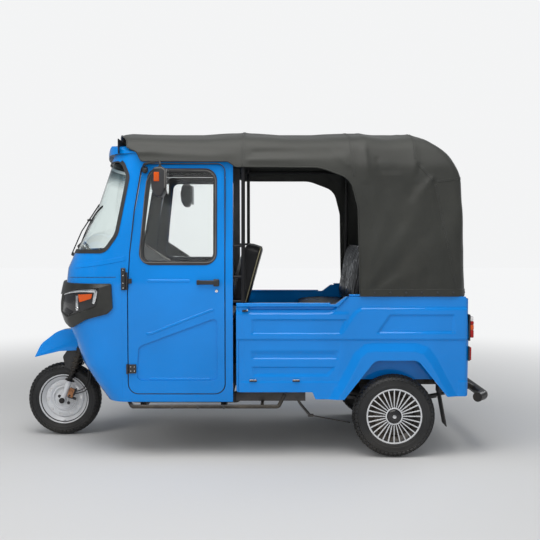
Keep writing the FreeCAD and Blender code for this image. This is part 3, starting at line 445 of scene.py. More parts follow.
def makeClothGroup():
    # a plain weave under a thin coating, with faint pressed creases
    tree, given, out = startGroup("coatedCloth", [("Threads", number, 520.0), ("Crease", number, 0.5)],
                                  [("Height", number), ("Tone", number)])
    point = objectPoint(tree)
    x, y, z = addNode(tree, "ShaderNodeSeparateXYZ", {0: point}).outputs
    turns = times(tree, given.outputs["Threads"], 6.283)
    warp = calc(tree, "SINE", times(tree, plus(tree, x, y), turns))
    weft = calc(tree, "SINE", times(tree, z, turns))
    crease = noiseField(tree, point, 7.0, 9.0, Roughness=0.7, Distortion=0.8)
    ridge = times(tree, remap(tree, crease, 0.35, 0.65), given.outputs["Crease"])
    height = plus(tree, times(tree, times(tree, warp, weft), 0.04), ridge)
    tree.links.new(height, out.inputs["Height"])
    tree.links.new(noiseField(tree, point, 2.2, 6.0, Roughness=0.6), out.inputs["Tone"])
    return tree


groups = {"dust": makeDustGroup(), "edge": makeEdgeGroup(), "grain": makeGrainGroup(),
          "cloth": makeClothGroup()}


def useGroup(tree, name, **inputs):
    made = tree.nodes.new("ShaderNodeGroup")
    made.node_tree = groups[name]
    for key, value in inputs.items():
        made.inputs[key].default_value = value
    return made


shaderInputs = {
    "baseColour": "Base Color", "roughness": "Roughness", "metallic": "Metallic", "coat": "Coat Weight",
    "coatRoughness": "Coat Roughness", "ior": "IOR", "transmission": "Transmission Weight",
                "sheen": "Sheen Weight",
    "specular": "Specular IOR Level", "sheenRoughness": "Sheen Roughness",
}


def startMaterial(name, **shader):
    material = bpy.data.materials.new(name)
    material.use_nodes = True
    tree = material.node_tree
    bsdf = tree.nodes["Principled BSDF"]
    for key, value in shader.items():
        bsdf.inputs[shaderInputs[key]].default_value = (*value, 1) if key == "baseColour" else value
    return material, tree, bsdf


def bumpFrom(tree, height, strength, distance, normal=None):
    made = addNode(tree, "ShaderNodeBump", {"Height": height, "Strength": strength, "Distance": distance})
    if normal is not None:
        tree.links.new(normal, made.inputs["Normal"])
    return made.outputs[0]


dustColour = (0.30, 0.25, 0.19, 1)
wornPaint = (0.05, 0.05, 0.055, 1)
rubbedPlastic = (0.16, 0.16, 0.165, 1)


def dustOver(tree, base, amount, top):
    # a dusty base colour and the mask of the dust
    dusty = useGroup(tree, "dust", Amount=amount, Top=top).outputs["Mask"]
    return mixColour(tree, dusty, base, dustColour), dusty


def paintMaterial(name, colour, roughness=0.3, coat=0.5, dust=0.25, dustTop=0.8, peel=0.03):
    # sprayed paint with orange peel, road dust low down and rubbed edges
    material, tree, bsdf = startMaterial(name, coat=coat, coatRoughness=0.05, specular=0.1)
    point = objectPoint(tree)
    cloud = noiseField(tree, point, 1.7, 5.0)
    base = mixColour(tree, remap(tree, cloud, 0.3, 0.7), toned(colour, 0.9), toned(colour, 1.08))
    edge = useGroup(tree, "edge", Radius=0.0025)
    base = mixColour(tree, times(tree, edge.outputs["Mask"], 0.25), base, wornPaint)
    base, dusty = dustOver(tree, base, dust, dustTop)
    tree.links.new(base, bsdf.inputs["Base Color"])
    rough = plus(tree, times(tree, dusty, 0.5), times(tree, cloud, 0.1))
    tree.links.new(plus(tree, rough, roughness - 0.05, clamp=True), bsdf.inputs["Roughness"])
    skin = noiseField(tree, point, 260.0, 2.0)
    tree.links.new(bumpFrom(tree, skin, peel, 0.0006, edge.outputs["Normal"]), bsdf.inputs["Normal"])
    return material


def metalMaterial(name, colour, roughness, dust=0.2, brush=0.0):
    # bare or plated metal with fine scratches and grime
    material, tree, bsdf = startMaterial(name, metallic=1.0)
    point = objectPoint(tree)
    cloud = noiseField(tree, point, 22.0, 6.0)
    base = mixColour(tree, remap(tree, cloud, 0.35, 0.7), toned(colour, 0.7), (*colour, 1))
    base, dusty = dustOver(tree, base, dust, 0.9)
    tree.links.new(base, bsdf.inputs["Base Color"])
    tree.links.new(calc(tree, "SUBTRACT", 1.0, times(tree, dusty, 0.9)), bsdf.inputs["Metallic"])
    rough = remap(tree, cloud, 0.3, 0.7, roughness * 0.75, roughness * 1.3)
    tree.links.new(plus(tree, rough, times(tree, dusty, 0.5)), bsdf.inputs["Roughness"])
    edge = useGroup(tree, "edge", Radius=0.001)
    mapped = addNode(tree, "ShaderNodeMapping", {0: point, 3: (20.0, 400.0, 400.0)}).outputs[0]
    lines = noiseField(tree, mapped, 2.0, 4.0)
    tree.links.new(bumpFrom(tree, lines, brush, 0.0004, edge.outputs["Normal"]), bsdf.inputs["Normal"])
    return material


def plasticMaterial(name, colour, roughness=0.5, grain=0.15, grainScale=420.0, dust=0.3, dustTop=0.9):
    # moulded plastic or rubber with pebble grain
    material, tree, bsdf = startMaterial(name)
    grains = useGroup(tree, "grain", Scale=grainScale)
    tone = grains.outputs["Tone"]
    base = mixColour(tree, remap(tree, tone, 0.35, 0.7), (*colour, 1), toned(colour, 1.5, 0.006))
    edge = useGroup(tree, "edge", Radius=0.0015)
    base = mixColour(tree, times(tree, edge.outputs["Mask"], 0.25), base, rubbedPlastic)
    base, dusty = dustOver(tree, base, dust, dustTop)
    tree.links.new(base, bsdf.inputs["Base Color"])
    rough = remap(tree, tone, 0.3, 0.7, roughness * 0.85, roughness * 1.12)
    tree.links.new(plus(tree, rough, times(tree, dusty, 0.3), clamp=True), bsdf.inputs["Roughness"])
    height = bumpFrom(tree, grains.outputs["Height"], grain, 0.0006, edge.outputs["Normal"])
    tree.links.new(height, bsdf.inputs["Normal"])
    return material


def lensMaterial(name, colour, transmission):
    # moulded lamp lens with flutes both ways
    material, tree, bsdf = startMaterial(name, baseColour=colour, transmission=transmission, roughness=0.12,
                                         ior=1.49)
    x, y, z = addNode(tree, "ShaderNodeSeparateXYZ", {0: objectPoint(tree)}).outputs
    upright = calc(tree, "SINE", times(tree, plus(tree, x, y), 1100.0))
    level = calc(tree, "SINE", times(tree, z, 900.0))
    height = plus(tree, upright, times(tree, level, 0.5))
    tree.links.new(bumpFrom(tree, height, 0.5, 0.0008), bsdf.inputs["Normal"])
    return material


def glassMaterial(name, tint, band=None):
    # sheet glass, let through for shadows so that the cab inside is lit; band is (from, to, tint) by height
    material, tree, bsdf = startMaterial(name, transmission=1.0, roughness=0.008, ior=1.22)
    clear = addNode(tree, "ShaderNodeBsdfTransparent")
    tinted = (bsdf.inputs["Base Color"], clear.inputs[0])
    if band is None:
        for socket in tinted:
            socket.default_value = (*tint, 1)
    else:
        low, high, bandTint = band
        height = addNode(tree, "ShaderNodeSeparateXYZ", {0: objectPoint(tree)}).outputs[2]
        colour = mixColour(tree, remap(tree, height, low, high), (*tint, 1), (*bandTint, 1))
        for socket in tinted:
            tree.links.new(colour, socket)
    path = tree.nodes.new("ShaderNodeLightPath").outputs["Is Shadow Ray"]
    both = addNode(tree, "ShaderNodeMixShader", {0: path, 1: bsdf.outputs[0], 2: clear.outputs[0]})
    tree.links.new(both.outputs[0], tree.nodes["Material Output"].inputs[0])
    return material


def clothMaterial(name, colour, threads, crease, roughness, sheen, dust):
    # coated canvas
    material, tree, bsdf = startMaterial(name, sheen=sheen, sheenRoughness=0.45)
    cloth = useGroup(tree, "cloth", Threads=threads, Crease=crease)
    tone = cloth.outputs["Tone"]
    base = mixColour(tree, remap(tree, tone, 0.35, 0.7), (*colour, 1), toned(colour, 1.5, 0.004))
    base, _ = dustOver(tree, base, dust, 2.4)
    tree.links.new(base, bsdf.inputs["Base Color"])
    tree.links.new(remap(tree, tone, 0.3, 0.7, roughness * 0.9, roughness * 1.1), bsdf.inputs["Roughness"])
    tree.links.new(bumpFrom(tree, cloth.outputs["Height"], 0.35, 0.0025), bsdf.inputs["Normal"])
    return material


def seatMaterial(name, colour):
    # black vinyl under a loose clear film: bright, broken streaks
    material, tree, bsdf = startMaterial(name, baseColour=colour, roughness=0.42, coat=0.3,
                                         coatRoughness=0.05,
                                         specular=0.08)
    stretch = addNode(tree, "ShaderNodeMapping", {0: objectPoint(tree), 3: (8.0, 4.5, 2.4)}).outputs[0]
    film = noiseField(tree, stretch, 1.6, 5.0, Roughness=0.55, Distortion=1.6)
    streak = remap(tree, film, 0.55, 0.63)
    grains = useGroup(tree, "grain", Scale=600.0)
    fine = bumpFrom(tree, grains.outputs["Height"], 0.15, 0.0005)
    tree.links.new(fine, bsdf.inputs["Normal"])
    tree.links.new(bumpFrom(tree, streak, 0.45, 0.010, fine), bsdf.inputs["Coat Normal"])
    tree.links.new(remap(tree, streak, 0.0, 1.0, 0.05, 0.9), bsdf.inputs["Coat Weight"])
    tree.links.new(remap(tree, streak, 0.0, 1.0, 0.34, 0.5), bsdf.inputs["Roughness"])
    return material


paintBlue = paintMaterial("azurePaint", (0.0010, 0.190, 0.60), roughness=0.20, dust=0.035, dustTop=0.25)
paintBlack = paintMaterial("chassisPaint", (0.012, 0.012, 0.013), roughness=0.42, coat=0.3, dust=0.5,
                           dustTop=0.9, peel=0.08)
paintSilver = paintMaterial("wheelSilver", (0.56, 0.57, 0.59), roughness=0.35, coat=0.5, dust=0.35,
                            dustTop=0.7)
paintGrey = paintMaterial("floorGrey", (0.10, 0.105, 0.11), roughness=0.6, coat=0.0, dust=0.6, dustTop=1.4,
                          peel=0.2)
steelDark = metalMaterial("castSteel", (0.10, 0.10, 0.105), 0.5, dust=0.5)
steelBright = metalMaterial("brightSteel", (0.72, 0.72, 0.73), 0.22, dust=0.2, brush=0.1)
chrome = metalMaterial("chromePlate", (0.9, 0.9, 0.91), 0.07, dust=0.05)
copper = metalMaterial("caliperCopper", (0.55, 0.26, 0.13), 0.35, dust=0.25)
plasticBlack = plasticMaterial("mouldedBlack", (0.014, 0.014, 0.015), 0.42, dust=0.12)
plasticGloss = plasticMaterial("glossBlack", (0.012, 0.012, 0.013), 0.22, grain=0.02, dust=0.1)
rubberSeal = plasticMaterial("sealRubber", (0.016, 0.016, 0.017), 0.55, grain=0.08, grainScale=700.0,
                             dust=0.1)
rubberTyre = plasticMaterial("tyreRubber", (0.0085, 0.0085, 0.0088), 0.5, grain=0.2, grainScale=260.0,
                             dust=0.08, dustTop=0.2)
glassClear = glassMaterial("doorGlass", (0.93, 0.955, 0.95))
glassScreen = glassMaterial("screenGlass", (0.87, 0.92, 0.91), band=(1.70, 1.78, (0.16, 0.22, 0.24)))
lensAmber = lensMaterial("amberLens", (0.70, 0.095, 0.004), transmission=0.25)
lensRed = lensMaterial("redLens", (0.42, 0.006, 0.006), transmission=0.25)
lensMilk = lensMaterial("milkLens", (0.86, 0.84, 0.84), transmission=0.3)
lensClear = lensMaterial("clearLens", (0.95, 0.96, 0.97), transmission=0.95)
mirrorSilver = metalMaterial("mirrorSilver", (0.93, 0.94, 0.95), 0.02, dust=0.0)
canvasBlack = clothMaterial("canopyCloth", (0.0130, 0.0140, 0.0115), 420.0, 0.5, 0.60, 0.10, 0.05)
lampSilver = metalMaterial("lampSilver", (0.93, 0.94, 0.95), 0.22, dust=0.0)
maskBlack = plasticMaterial("maskBlack", (0.0125, 0.0130, 0.0115), 0.36, grain=0.10, grainScale=520.0,
                            dust=0.06)
# light grey rubber whose tone is a painted highlight, for the beads on the window seal, mirror and
# quarter-window bar
paintedHighlightGrey = plasticMaterial("paintedHighlightGrey", (0.085, 0.082, 0.078), 0.38, grain=0.04, dust=0.05)
threadGrey = plasticMaterial("threadGrey", (0.035, 0.035, 0.035), 0.7, grain=0.05, dust=0.05)
pipingOlive = plasticMaterial("pipingOlive", (0.14, 0.125, 0.075), 0.5, grain=0.1, dust=0.0)
vinylSeat = seatMaterial("seatVinyl", (0.014, 0.014, 0.015))
print("materials made:", len(bpy.data.materials))


# rigid panels and frames that keep their CAD shape
def dressNode(name, material, creaseAngle=30):
    shown = nodes[name]
    shown.data.materials.clear()
    shown.data.materials.append(material)
    for face in shown.data.polygons:
        face.use_smooth = True
        face.material_index = 0
    weld = shown.modifiers.new("weld", "WELD")
    weld.merge_threshold = 0.00003
    crease = shown.modifiers.new("crease", "EDGE_SPLIT")
    crease.split_angle = math.radians(creaseAngle)
    return shown


dressing = {
    paintBlue: ["cab_nose", "cab_frame", "door_left_shell", "door_right_shell", "bed_sides", "bed_front",
                "wheel_tubs",
                "front_mudguard", "tailgate"],
    paintBlack: ["chassis_frame", "rear_bumper", "canopy_frame", "seat_bases", "wheel_housing", "handlebar",
                 "rear_rim_left", "rear_rim_right"],
    paintGrey: ["cab_floor", "bed_floor"],
    paintSilver: ["front_rim", "fork"],
    steelDark: ["engine_block", "rear_axle", "leaf_springs"],
    plasticBlack: ["nose_mask", "dashboard", "door_left_fittings", "door_right_fittings"],
    rubberSeal: ["windscreen_trim", "door_left_seal", "door_right_seal", "mud_flaps"],
    rubberTyre: ["front_tyre", "rear_tyre_left", "rear_tyre_right"],
    glassScreen: ["windscreen"],
    glassClear: ["door_left_glass", "door_right_glass"],
    lensClear: ["headlamps"],
    lensAmber: ["indicator_lamps"],
    lensRed: ["tail_lamps"],
    canvasBlack: ["canopy"],
    vinylSeat: ["seats"],
}
for material, names in dressing.items():
    for name in names:
        dressNode(name, material)


def darkLiningAndShade(name, material, top=9.0):
    # black on the faces that look into the cab, on high faces that look down and on rear faces in the nose:
    # partly a dark lining, partly painted shade inside the cab
    mesh = nodes[name].data
    mesh.materials.append(material)
    for face in mesh.polygons:
        inward = face.normal.y * face.center.y < -0.02 and abs(face.normal.y) > 0.25
        if inward or (face.normal.z < -0.4 and face.center.z > top) or (face.normal.x > 0.3
            and face.center.x < -0.85):
            face.material_index = 1


# the inner faces of the doors and cab frame drawn black: dark lining and painted shade
for name in ("door_left_shell", "door_right_shell"):
    darkLiningAndShade(name, plasticBlack)
darkLiningAndShade("cab_frame", plasticBlack, top=1.75)
print("CAD nodes dressed")


# canopy: one stretched cover, its hem, seams, binding and studs
canopyShape = {"halfWidth": 0.628, "front": -0.851, "rear": 1.355, "hem": 1.000, "top": 2.070,
               "rearCorner": 0.11,
               "frontCorner": 0.12, "frontCurve": 1.3, "voxel": 0.015, "thickness": 0.0022, "smoothing": 14}
canopySide = [(-0.951, 1.906, 0), (-0.784, 2.040, 0.07), (-0.025, 2.072, 0.9), (1.025, 2.046, 0.30),
              (1.245, 1.880, 0.16),
              (1.310, 1.740, 0.20), (1.355, 0.96, 0), (-0.951, 0.96, 0)]
endHalf = [(0.628, 0.95, 0), (0.628, 1.30, 0), (0.602, 1.80, 0.12), (0.538, 1.965, 0.13)]
canopyEnd = [(-y, z, radius) for y, z, radius in endHalf] + [(0, 2.13, 1.5)] + endHalf[::-1]
sideArch = [(-1.1, 0.90, 0), (0.696, 0.90, 0), (0.682, 1.54, 0.12), (0.636, 1.72, 0.12),
            (0.446, 1.792, 0.20),
            (-0.064, 1.792, 0.03), (-0.114, 1.828, 0.03), (-0.643, 1.828, 0.016), (-0.673, 1.884, 0.03),
            (-0.761, 1.932, 0),
            (-1.1, 2.114, 0)]
rearWindow = [(-0.33, 1.33, 0.06), (-0.33, 1.70, 0.06), (0.33, 1.70, 0.06), (0.33, 1.33, 0.06)]
bows = [-0.851, -0.020, 0.726, 1.032]
folds = [
    # on the side: from x, z, to x, z, half width, height
    (0.74, 1.05, 1.12, 1.66, 0.040, 0.011),
    (0.80, 1.05, 1.20, 1.50, 0.045, -0.009),
    (0.72, 1.06, 0.86, 1.52, 0.030, 0.006),
    (0.78, 1.06, 1.02, 1.60, 0.030, -0.006),
    (0.80, 1.04, 1.18, 1.22, 0.035, 0.006),
    (1.27, 1.06, 1.02, 1.38, 0.034, 0.007),
    (1.29, 1.10, 1.12, 1.55, 0.030, -0.005),
    (1.02, 1.03, 1.06, 1.16, 0.016, 0.005),
    (1.10, 1.03, 1.12, 1.20, 0.016, -0.004),
    (1.17, 1.03, 1.18, 1.17, 0.016, 0.005),
    (0.80, 1.84, 0.86, 1.66, 0.022, -0.006),
    (0.72, 1.90, 0.78, 1.60, 0.020, 0.006),
    (1.06, 1.80, 1.00, 1.62, 0.022, -0.006),
    (1.13, 1.72, 0.96, 1.50, 0.026, 0.007),
    (1.15, 1.70, 1.20, 1.40, 0.018, -0.005),
    (-0.74, 1.885, -0.10, 1.868, 0.020, 0.007),
    (-0.66, 1.925, -0.20, 1.905, 0.022, -0.006),
    (-0.80, 1.845, -0.55, 1.905, 0.018, 0.006),
    (0.02, 1.832, 0.60, 1.850, 0.022, 0.008),
    (0.05, 1.885, 0.58, 1.900, 0.026, -0.007),
    (0.62, 1.80, 0.50, 1.93, 0.020, 0.005),
]


def ridge(x, z, row):
    # height of one fold at a point of the side
    x1, z1, x2, z2, width, height = row
    along = Vector((x2 - x1, z2 - z1))
    reach = Vector((x - x1, z - z1))
    t = max(0, min(1, reach.dot(along) / along.length_squared))
    away = (reach - along * t).length
    spread = width * (0.6 + 0.9 * t)
    return height * math.exp(-(away / spread) ** 2) * (1 - 0.45 * t)


slack = {"sag": 0.011, "sideSag": 0.35, "bowRise": 0.0045, "bowWide": 0.022, "drift": 0.006,
         "small": 0.0022, "rearWave": 0.006,
         "settle": 0.10, "lowest": -0.010}


def clothOffset(point, normal):
    # how far the stretched cover stands off its plain shape
    upright = max(0, abs(normal.y) - 0.35) / 0.65
    flat = max(0, normal.z - 0.3) / 0.7
    rearward = max(0, normal.x - 0.4) / 0.6
    height = sum(ridge(point.x, point.z, row) for row in folds) * upright
    for start, end in zip(bows, bows[1:]):
        if start < point.x < end:
            hang = math.sin(math.pi * (point.x - start) / (end - start)) ** 2
            height -= slack["sag"] * hang * (flat + slack["sideSag"] * upright * (point.z > 1.75))
    for bow in bows[1:]:
        rise = math.exp(-((point.x - bow) / slack["bowWide"]) ** 2)
        height += slack["bowRise"] * rise * max(flat, upright * (point.z > 1.70))
    drift = noise.noise(point * 3.1 + Vector((4.2, 1.7, 0.3)))
    small = noise.noise(Vector((point.x * 9, point.y * 9, point.z * 6)) + Vector((9.1, 3.3, 5.7)))
    height += drift * slack["drift"] + small * slack["small"]
    wave = math.sin(point.y * 9 + point.z * 4) * math.sin((point.z - 1.0) * 3.4)
    height += rearward * slack["rearWave"] * wave
    settled = min(1, (point.z - canopyShape["hem"]) / slack["settle"])
    return max(slack["lowest"], height) * settled


def solidFrom(name, path, place, push, material):
    # a prism as a scene object, for a boolean
    bm = bmesh.new()
    addPrism(bm, path, place, push)
    return objectOf(name, bm, material)


def applyModifiers(shown):
    mesh = bpy.data.meshes.new_from_object(shown.evaluated_get(bpy.context.evaluated_depsgraph_get()))
    shown.modifiers.clear()
    shown.data = mesh


def voxelRemesh(shown, size):
    remesh = shown.modifiers.new("remesh", "REMESH")
    remesh.mode = "VOXEL"
    remesh.voxel_size = size
    applyModifiers(shown)


def moveOut(bm, offset):
    # every vertex moved along its normal by offset(point, normal)
    bm.normal_update()
    moves = [(vert, vert.normal * offset(vert.co, vert.normal)) for vert in bm.verts]
    for vert, move in moves:
        vert.co += move


def cutWith(shown, tool, operation):
    step = shown.modifiers.new("cut", "BOOLEAN")
    step.operation = operation
    step.solver = "EXACT"
    step.material_mode = "TRANSFER"
    step.object = tool
    applyModifiers(shown)
    bpy.data.objects.remove(tool)


def cutShape(shown, operation, path, place, push, material):
    cutWith(shown, solidFrom("tool", path, place, push, material), operation)


def acrossVehicle(y):
    return lambda point: Vector((point.x, y, point.y))


def alongVehicle(x):
    return lambda point: Vector((x, point.x, point.y))


def onPlan(z):
    return lambda point: Vector((point.x, point.y, z))


def planOutline():
    # the plan with its bowed front and round rear corners
    shape = canopyShape
    half = shape["halfWidth"] + 0.01
    start = half - shape["frontCorner"]
    front = []
    for k in range(13):
        y = -start + 2 * start * k / 12
        front.append((shape["front"] + shape["frontCurve"] - math.sqrt(shape["frontCurve"] ** 2 - y * y), y,
                      0))
    corners = [(front[0][0] + 0.02, -half, 0.10)] + front + [(front[-1][0] + 0.02, half, 0.10)]
    corners += [(shape["rear"] + 0.3, half, 0), (shape["rear"] + 0.3, -half, 0)]
    return roundedPath(corners)


def makeCanopySurface():
    # prisms from three sides, smoothed, then cut open and given its folds
    shape = canopyShape
    across, along, up = Vector((0, 1.8, 0)), Vector((3, 0, 0)), Vector((0, 0, 1.4))
    half, corner, rear = shape["halfWidth"] + 0.01, shape["rearCorner"], shape["rear"]
    plan = [(-1.2, -half, 0), (rear, -half, corner), (rear, half, corner), (-1.2, half, 0)]
    cover = solidFrom("cover", roundedPath(canopySide), acrossVehicle(-0.9), across, canvasBlack)
    cutShape(cover, "INTERSECT", roundedPath(canopyEnd), alongVehicle(-1.2), along, canvasBlack)
    cutShape(cover, "INTERSECT", roundedPath(plan), onPlan(0.9), up, canvasBlack)
    voxelRemesh(cover, shape["voxel"])
    bm = bmesh.new()
    bm.from_mesh(cover.data)
    for _ in range(shape["smoothing"]):
        bmesh.ops.smooth_vert(bm, verts=bm.verts, factor=0.5, use_axis_x=True, use_axis_y=True,
                              use_axis_z=True)
    for face in bm.faces:
        face.material_index = 0
    bm.to_mesh(cover.data)
    bm.free()
    cover.data.materials.clear()
    cover.data.materials.append(canvasBlack)
    # the cut faces carry the trim material, by which they are found and taken away
    trim = plasticBlack
    cutShape(cover, "INTERSECT", planOutline(), onPlan(0.8), Vector((0, 0, 1.5)), trim)
    cutShape(cover, "DIFFERENCE", roundedPath(sideArch), acrossVehicle(-0.9), across, trim)
    cutShape(cover, "DIFFERENCE", roundedPath(rearWindow), alongVehicle(1.2), Vector((0.4, 0, 0)), trim)
    trimIndex = cover.data.materials.find(trim.name)
    bm = meshOf(cover)
    cuts = [face for face in bm.faces if face.material_index == trimIndex]
    bmesh.ops.delete(bm, geom=cuts, context="FACES")
    bmesh.ops.bisect_plane(bm, geom=everythingIn(bm), dist=mergeReach, plane_co=(0, 0, shape["hem"]),
                           plane_no=(0, 0, -1), clear_outer=True)
    bmesh.ops.dissolve_degenerate(bm, dist=0.0015, edges=bm.edges)
    moveOut(bm, clothOffset)
    bm.normal_update()
    return bm


def chainsOf(edges):
    # orders loose edges into lines of vertices
    left = set(edges)
    chains = []
    while left:
        start = next(iter(sorted(left, key=lambda edge: edge.index)))
        line = list(start.verts)
        left.discard(start)
        for way in (-1, 0):
            going = True
            while going:
                tip = line[way]
                following = [edge for edge in tip.link_edges if edge in left]
                going = bool(following)
                if going:
                    left.discard(following[0])
                    other = following[0].other_vert(tip)
                    line.insert(len(line) if way else 0, other)
        chains.append(line)
    return chains


def evenLine(points, normals, spacing):
    # the same line with evenly spaced points
    spots, ways = [points[0]], [normals[0]]
    carried = 0.0
    for index in range(1, len(points)):
        run = (points[index] - points[index - 1]).length
        while carried + run >= spacing and run > 0:
            t = (spacing - carried) / run
            points[index - 1] = points[index - 1].lerp(points[index], t)
            normals[index - 1] = normals[index - 1].lerp(normals[index], t).normalized()
            spots.append(points[index - 1].copy())
            ways.append(normals[index - 1].copy())
            run = (points[index] - points[index - 1]).length
            carried = 0.0
        carried += run
    return spots, ways


def linesOf(edges, spacing):
    # loose edges as lines of evenly spaced points with normals, without bits shorter than 5 cm
    lines = []
    for chain in chainsOf(edges):
        points, normals = [vert.co.copy() for vert in chain], [vert.normal.copy() for vert in chain]
        if sum((points[k] - points[k - 1]).length for k in range(1, len(points))) > 0.05:
            lines.append(evenLine(points, normals, spacing))
    return lines


def cutLines(sheet, planeCo, planeNo, keep=None, spacing=0.012):
    # the lines where a plane meets the sheet
    copied = sheet.copy()
    made = bmesh.ops.bisect_plane(copied, geom=everythingIn(copied), dist=mergeReach, plane_co=planeCo,
                                  plane_no=planeNo)
    copied.edges.index_update()
    copied.normal_update()
    edges = [item for item in made["geom_cut"] if isinstance(item, bmesh.types.BMEdge)]
    if keep is not None:
        edges = [edge for edge in edges if all(keep(vert.co) for vert in edge.verts)]
    lines = linesOf(edges, spacing)
    copied.free()
    return lines


def rimLines(sheet, lowest, spacing=0.012):
    # the open rims above a height
    sheet.edges.index_update()
    edges = [edge for edge in sheet.edges if edge.is_boundary
             and min(vert.co.z for vert in edge.verts) > lowest]
    return linesOf(edges, spacing)


def addRibbon(bm, points, normals, width, height, lift=0.0):
    # a flat strip with sloping edges that lies along a line on the sheet
    part = bmesh.new()
    rings = []
    for index, point in enumerate(points):
        ahead = (points[min(index + 1, len(points) - 1)] - points[max(index - 1, 0)]).normalized()
        side = normals[index].cross(ahead).normalized()
        up = normals[index]
        base = point + up * lift
        rows = [(-0.5, -0.0015), (-0.44, height), (0, height * 1.15), (0.44, height), (0.5, -0.0015)]
        span = width[index] if isinstance(width, list) else width
        ring = [part.verts.new(base + side * span * across + up * rise) for across, rise in rows]
        rings.append([part.edges.new((ring[k - 1], ring[k])) for k in range(len(ring))])
    for first, second in zip(rings, rings[1:]):
        bmesh.ops.bridge_loops(part, edges=first + second)
    bmesh.ops.holes_fill(part, edges=part.edges[:], sides=0)
    bmesh.ops.recalc_face_normals(part, faces=part.faces)
    joinInto(bm, part)


def addStitches(bm, points, normals, offset, rise):
    # short raised threads beside a line, one per step
    for index in range(len(points) - 1):
        ahead = points[index + 1] - points[index]
        if ahead.length < 0.001:
            continue
        run = ahead.normalized()
        side = normals[index].cross(run).normalized()
        middle = points[index] + ahead * 0.5 + side * offset + normals[index] * rise
        turn = Matrix((run, side, normals[index])).transposed().to_4x4()
        addBlock(bm, middle, (0.0065, 0.0014, 0.0012), turn=turn)


canopySeamRows = [
    # plane's point, plane's normal, where the seam runs
    ((-0.022, 0, 0), (1, 0, 0), lambda spot: spot.z > 1.7),
    ((0.648, 0, 1.85), (0.9983, 0, 0.058), lambda spot: spot.z > 1.72),
    ((1.033, 0, 0), (1, 0, 0), lambda spot: spot.z > 1.83),
    ((1.033, 0, 1.83), (0.743, 0, 0.669), lambda spot: abs(spot.y) > 0.3 and 1.700 < spot.z < 1.832),
    ((1.150, 0, 1.70), (0.980, 0, 0.198),
     lambda spot: abs(spot.y) > 0.3 and canopyShape["hem"] + 0.02 < spot.z < 1.702),
    ((1.150, 0, 1.70), (-0.14, 0, 0.99), lambda spot: spot.x > 1.148),
]
trimShape = {"seamWide": 0.017, "seamHigh": 0.0016, "stitchAside": 0.0045, "stitchHigh": 0.0019,
             "hemMiddle": 0.024,
             "hemWide": 0.046, "hemHigh": 0.0026, "hemStitchAside": 0.019, "hemStitchHigh": 0.0032,
             "binding": 0.0042,
             "studSpacing": 0.096}
studRows = [
    # from and to above the cloth, radius at each end
    (0.002, 0.0045, 0.0085, 0.0075), (0.0045, 0.0065, 0.0055, 0.0035),
]


def makeCanopy():
    surface = makeCanopySurface()
    area = sum(face.calc_area() for face in surface.faces)
    trim = trimShape
    hemLine = ((0, 0, canopyShape["hem"] + trim["hemMiddle"]), (0, 0, 1))
    seams, threads, studs = bmesh.new(), bmesh.new(), bmesh.new()
    for planeCo, planeNo, keep in canopySeamRows:
        for points, normals in cutLines(surface, planeCo, planeNo, keep):
            addRibbon(seams, points, normals, trim["seamWide"], trim["seamHigh"])
            for way in (1, -1):
                addStitches(threads, points, normals, way * trim["stitchAside"], trim["stitchHigh"])
    for points, normals in cutLines(surface, *hemLine):
        addRibbon(seams, points, normals, trim["hemWide"], trim["hemHigh"])
        addStitches(threads, points, normals, trim["hemStitchAside"], trim["hemStitchHigh"])
    for points, normals in rimLines(surface, canopyShape["hem"] + 0.0005):
        addTube(seams, points, trim["binding"], sides=6)
    for points, normals in cutLines(surface, *hemLine, spacing=trim["studSpacing"]):
        for point, normal in zip(points, normals):
            for low, high, radius, top in studRows:
                addRound(studs, point + normal * low, point + normal * high, radius, top, sides=16)
    cover = finishPiece("canopyCover", surface, "body", canvasBlack, "canopy_cloth", sharpAngle=60)
    wall = cover.modifiers.new("wall", "SOLIDIFY")
    wall.thickness = canopyShape["thickness"]
    wall.offset = -1
    companions = [finishPiece("canopySeams", seams, "body", canvasBlack, "canopy_cloth"),
                  finishPiece("canopyStitches", threads, "body", threadGrey, "canopy_cloth"),
                  finishPiece("canopyStuds", studs, "body", steelDark, "dark_steel")]
    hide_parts("canopy")
    print("canopy made, square metres:", round(area, 2))


makeCanopy()


# tyres with moulded tread
tyreShape = {"steps": 162, "lugDepth": 0.006, "lugInset": 0.0009, "treadDeep": 0.036, "bead": 0.155,
             "frontWidth": 0.095,
             "rearWidth": 0.105}
wallAtBead = [
    # up from the bead, out from the half width
    (0, -0.014), (0.004, -0.0095), (0.016, -0.0085), (0.0175, -0.006), (0.021, -0.0055), (0.024, -0.0035),
              (0.036, -0.001),
    (0.0375, 0.0004), (0.040, 0.0004), (0.0415, -0.0006), (0.050, -0.0006),
]
wallAtCrown = [(-0.0415, -0.001), (-0.040, 0.0002), (-0.0375, 0)]
treadColumns = [(0.0, 0.14), (0.20, 0.40), (0.46, 0.70), (0.78, 0.96)]
crownDrop = [(0.14, 0.0003), (0.20, 0.0005), (0.40, 0.0022), (0.46, 0.003), (0.70, 0.0085), (0.78, 0.012),
             (0.96, 0.027)]


def tyreProfile(radius, half, bead):
    base = radius - tyreShape["lugDepth"]
    line = [(bead + up, half + out) for up, out in wallAtBead]
    line += [(radius + up, half + out) for up, out in wallAtCrown]
    line += [(base - drop, half * share) for share, drop in reversed(crownDrop)]
    inside = [(bead - 0.001, half - 0.030), (bead - 0.001, -half + 0.030)]
    return [(reach, -y) for reach, y in line] + line[::-1] + inside


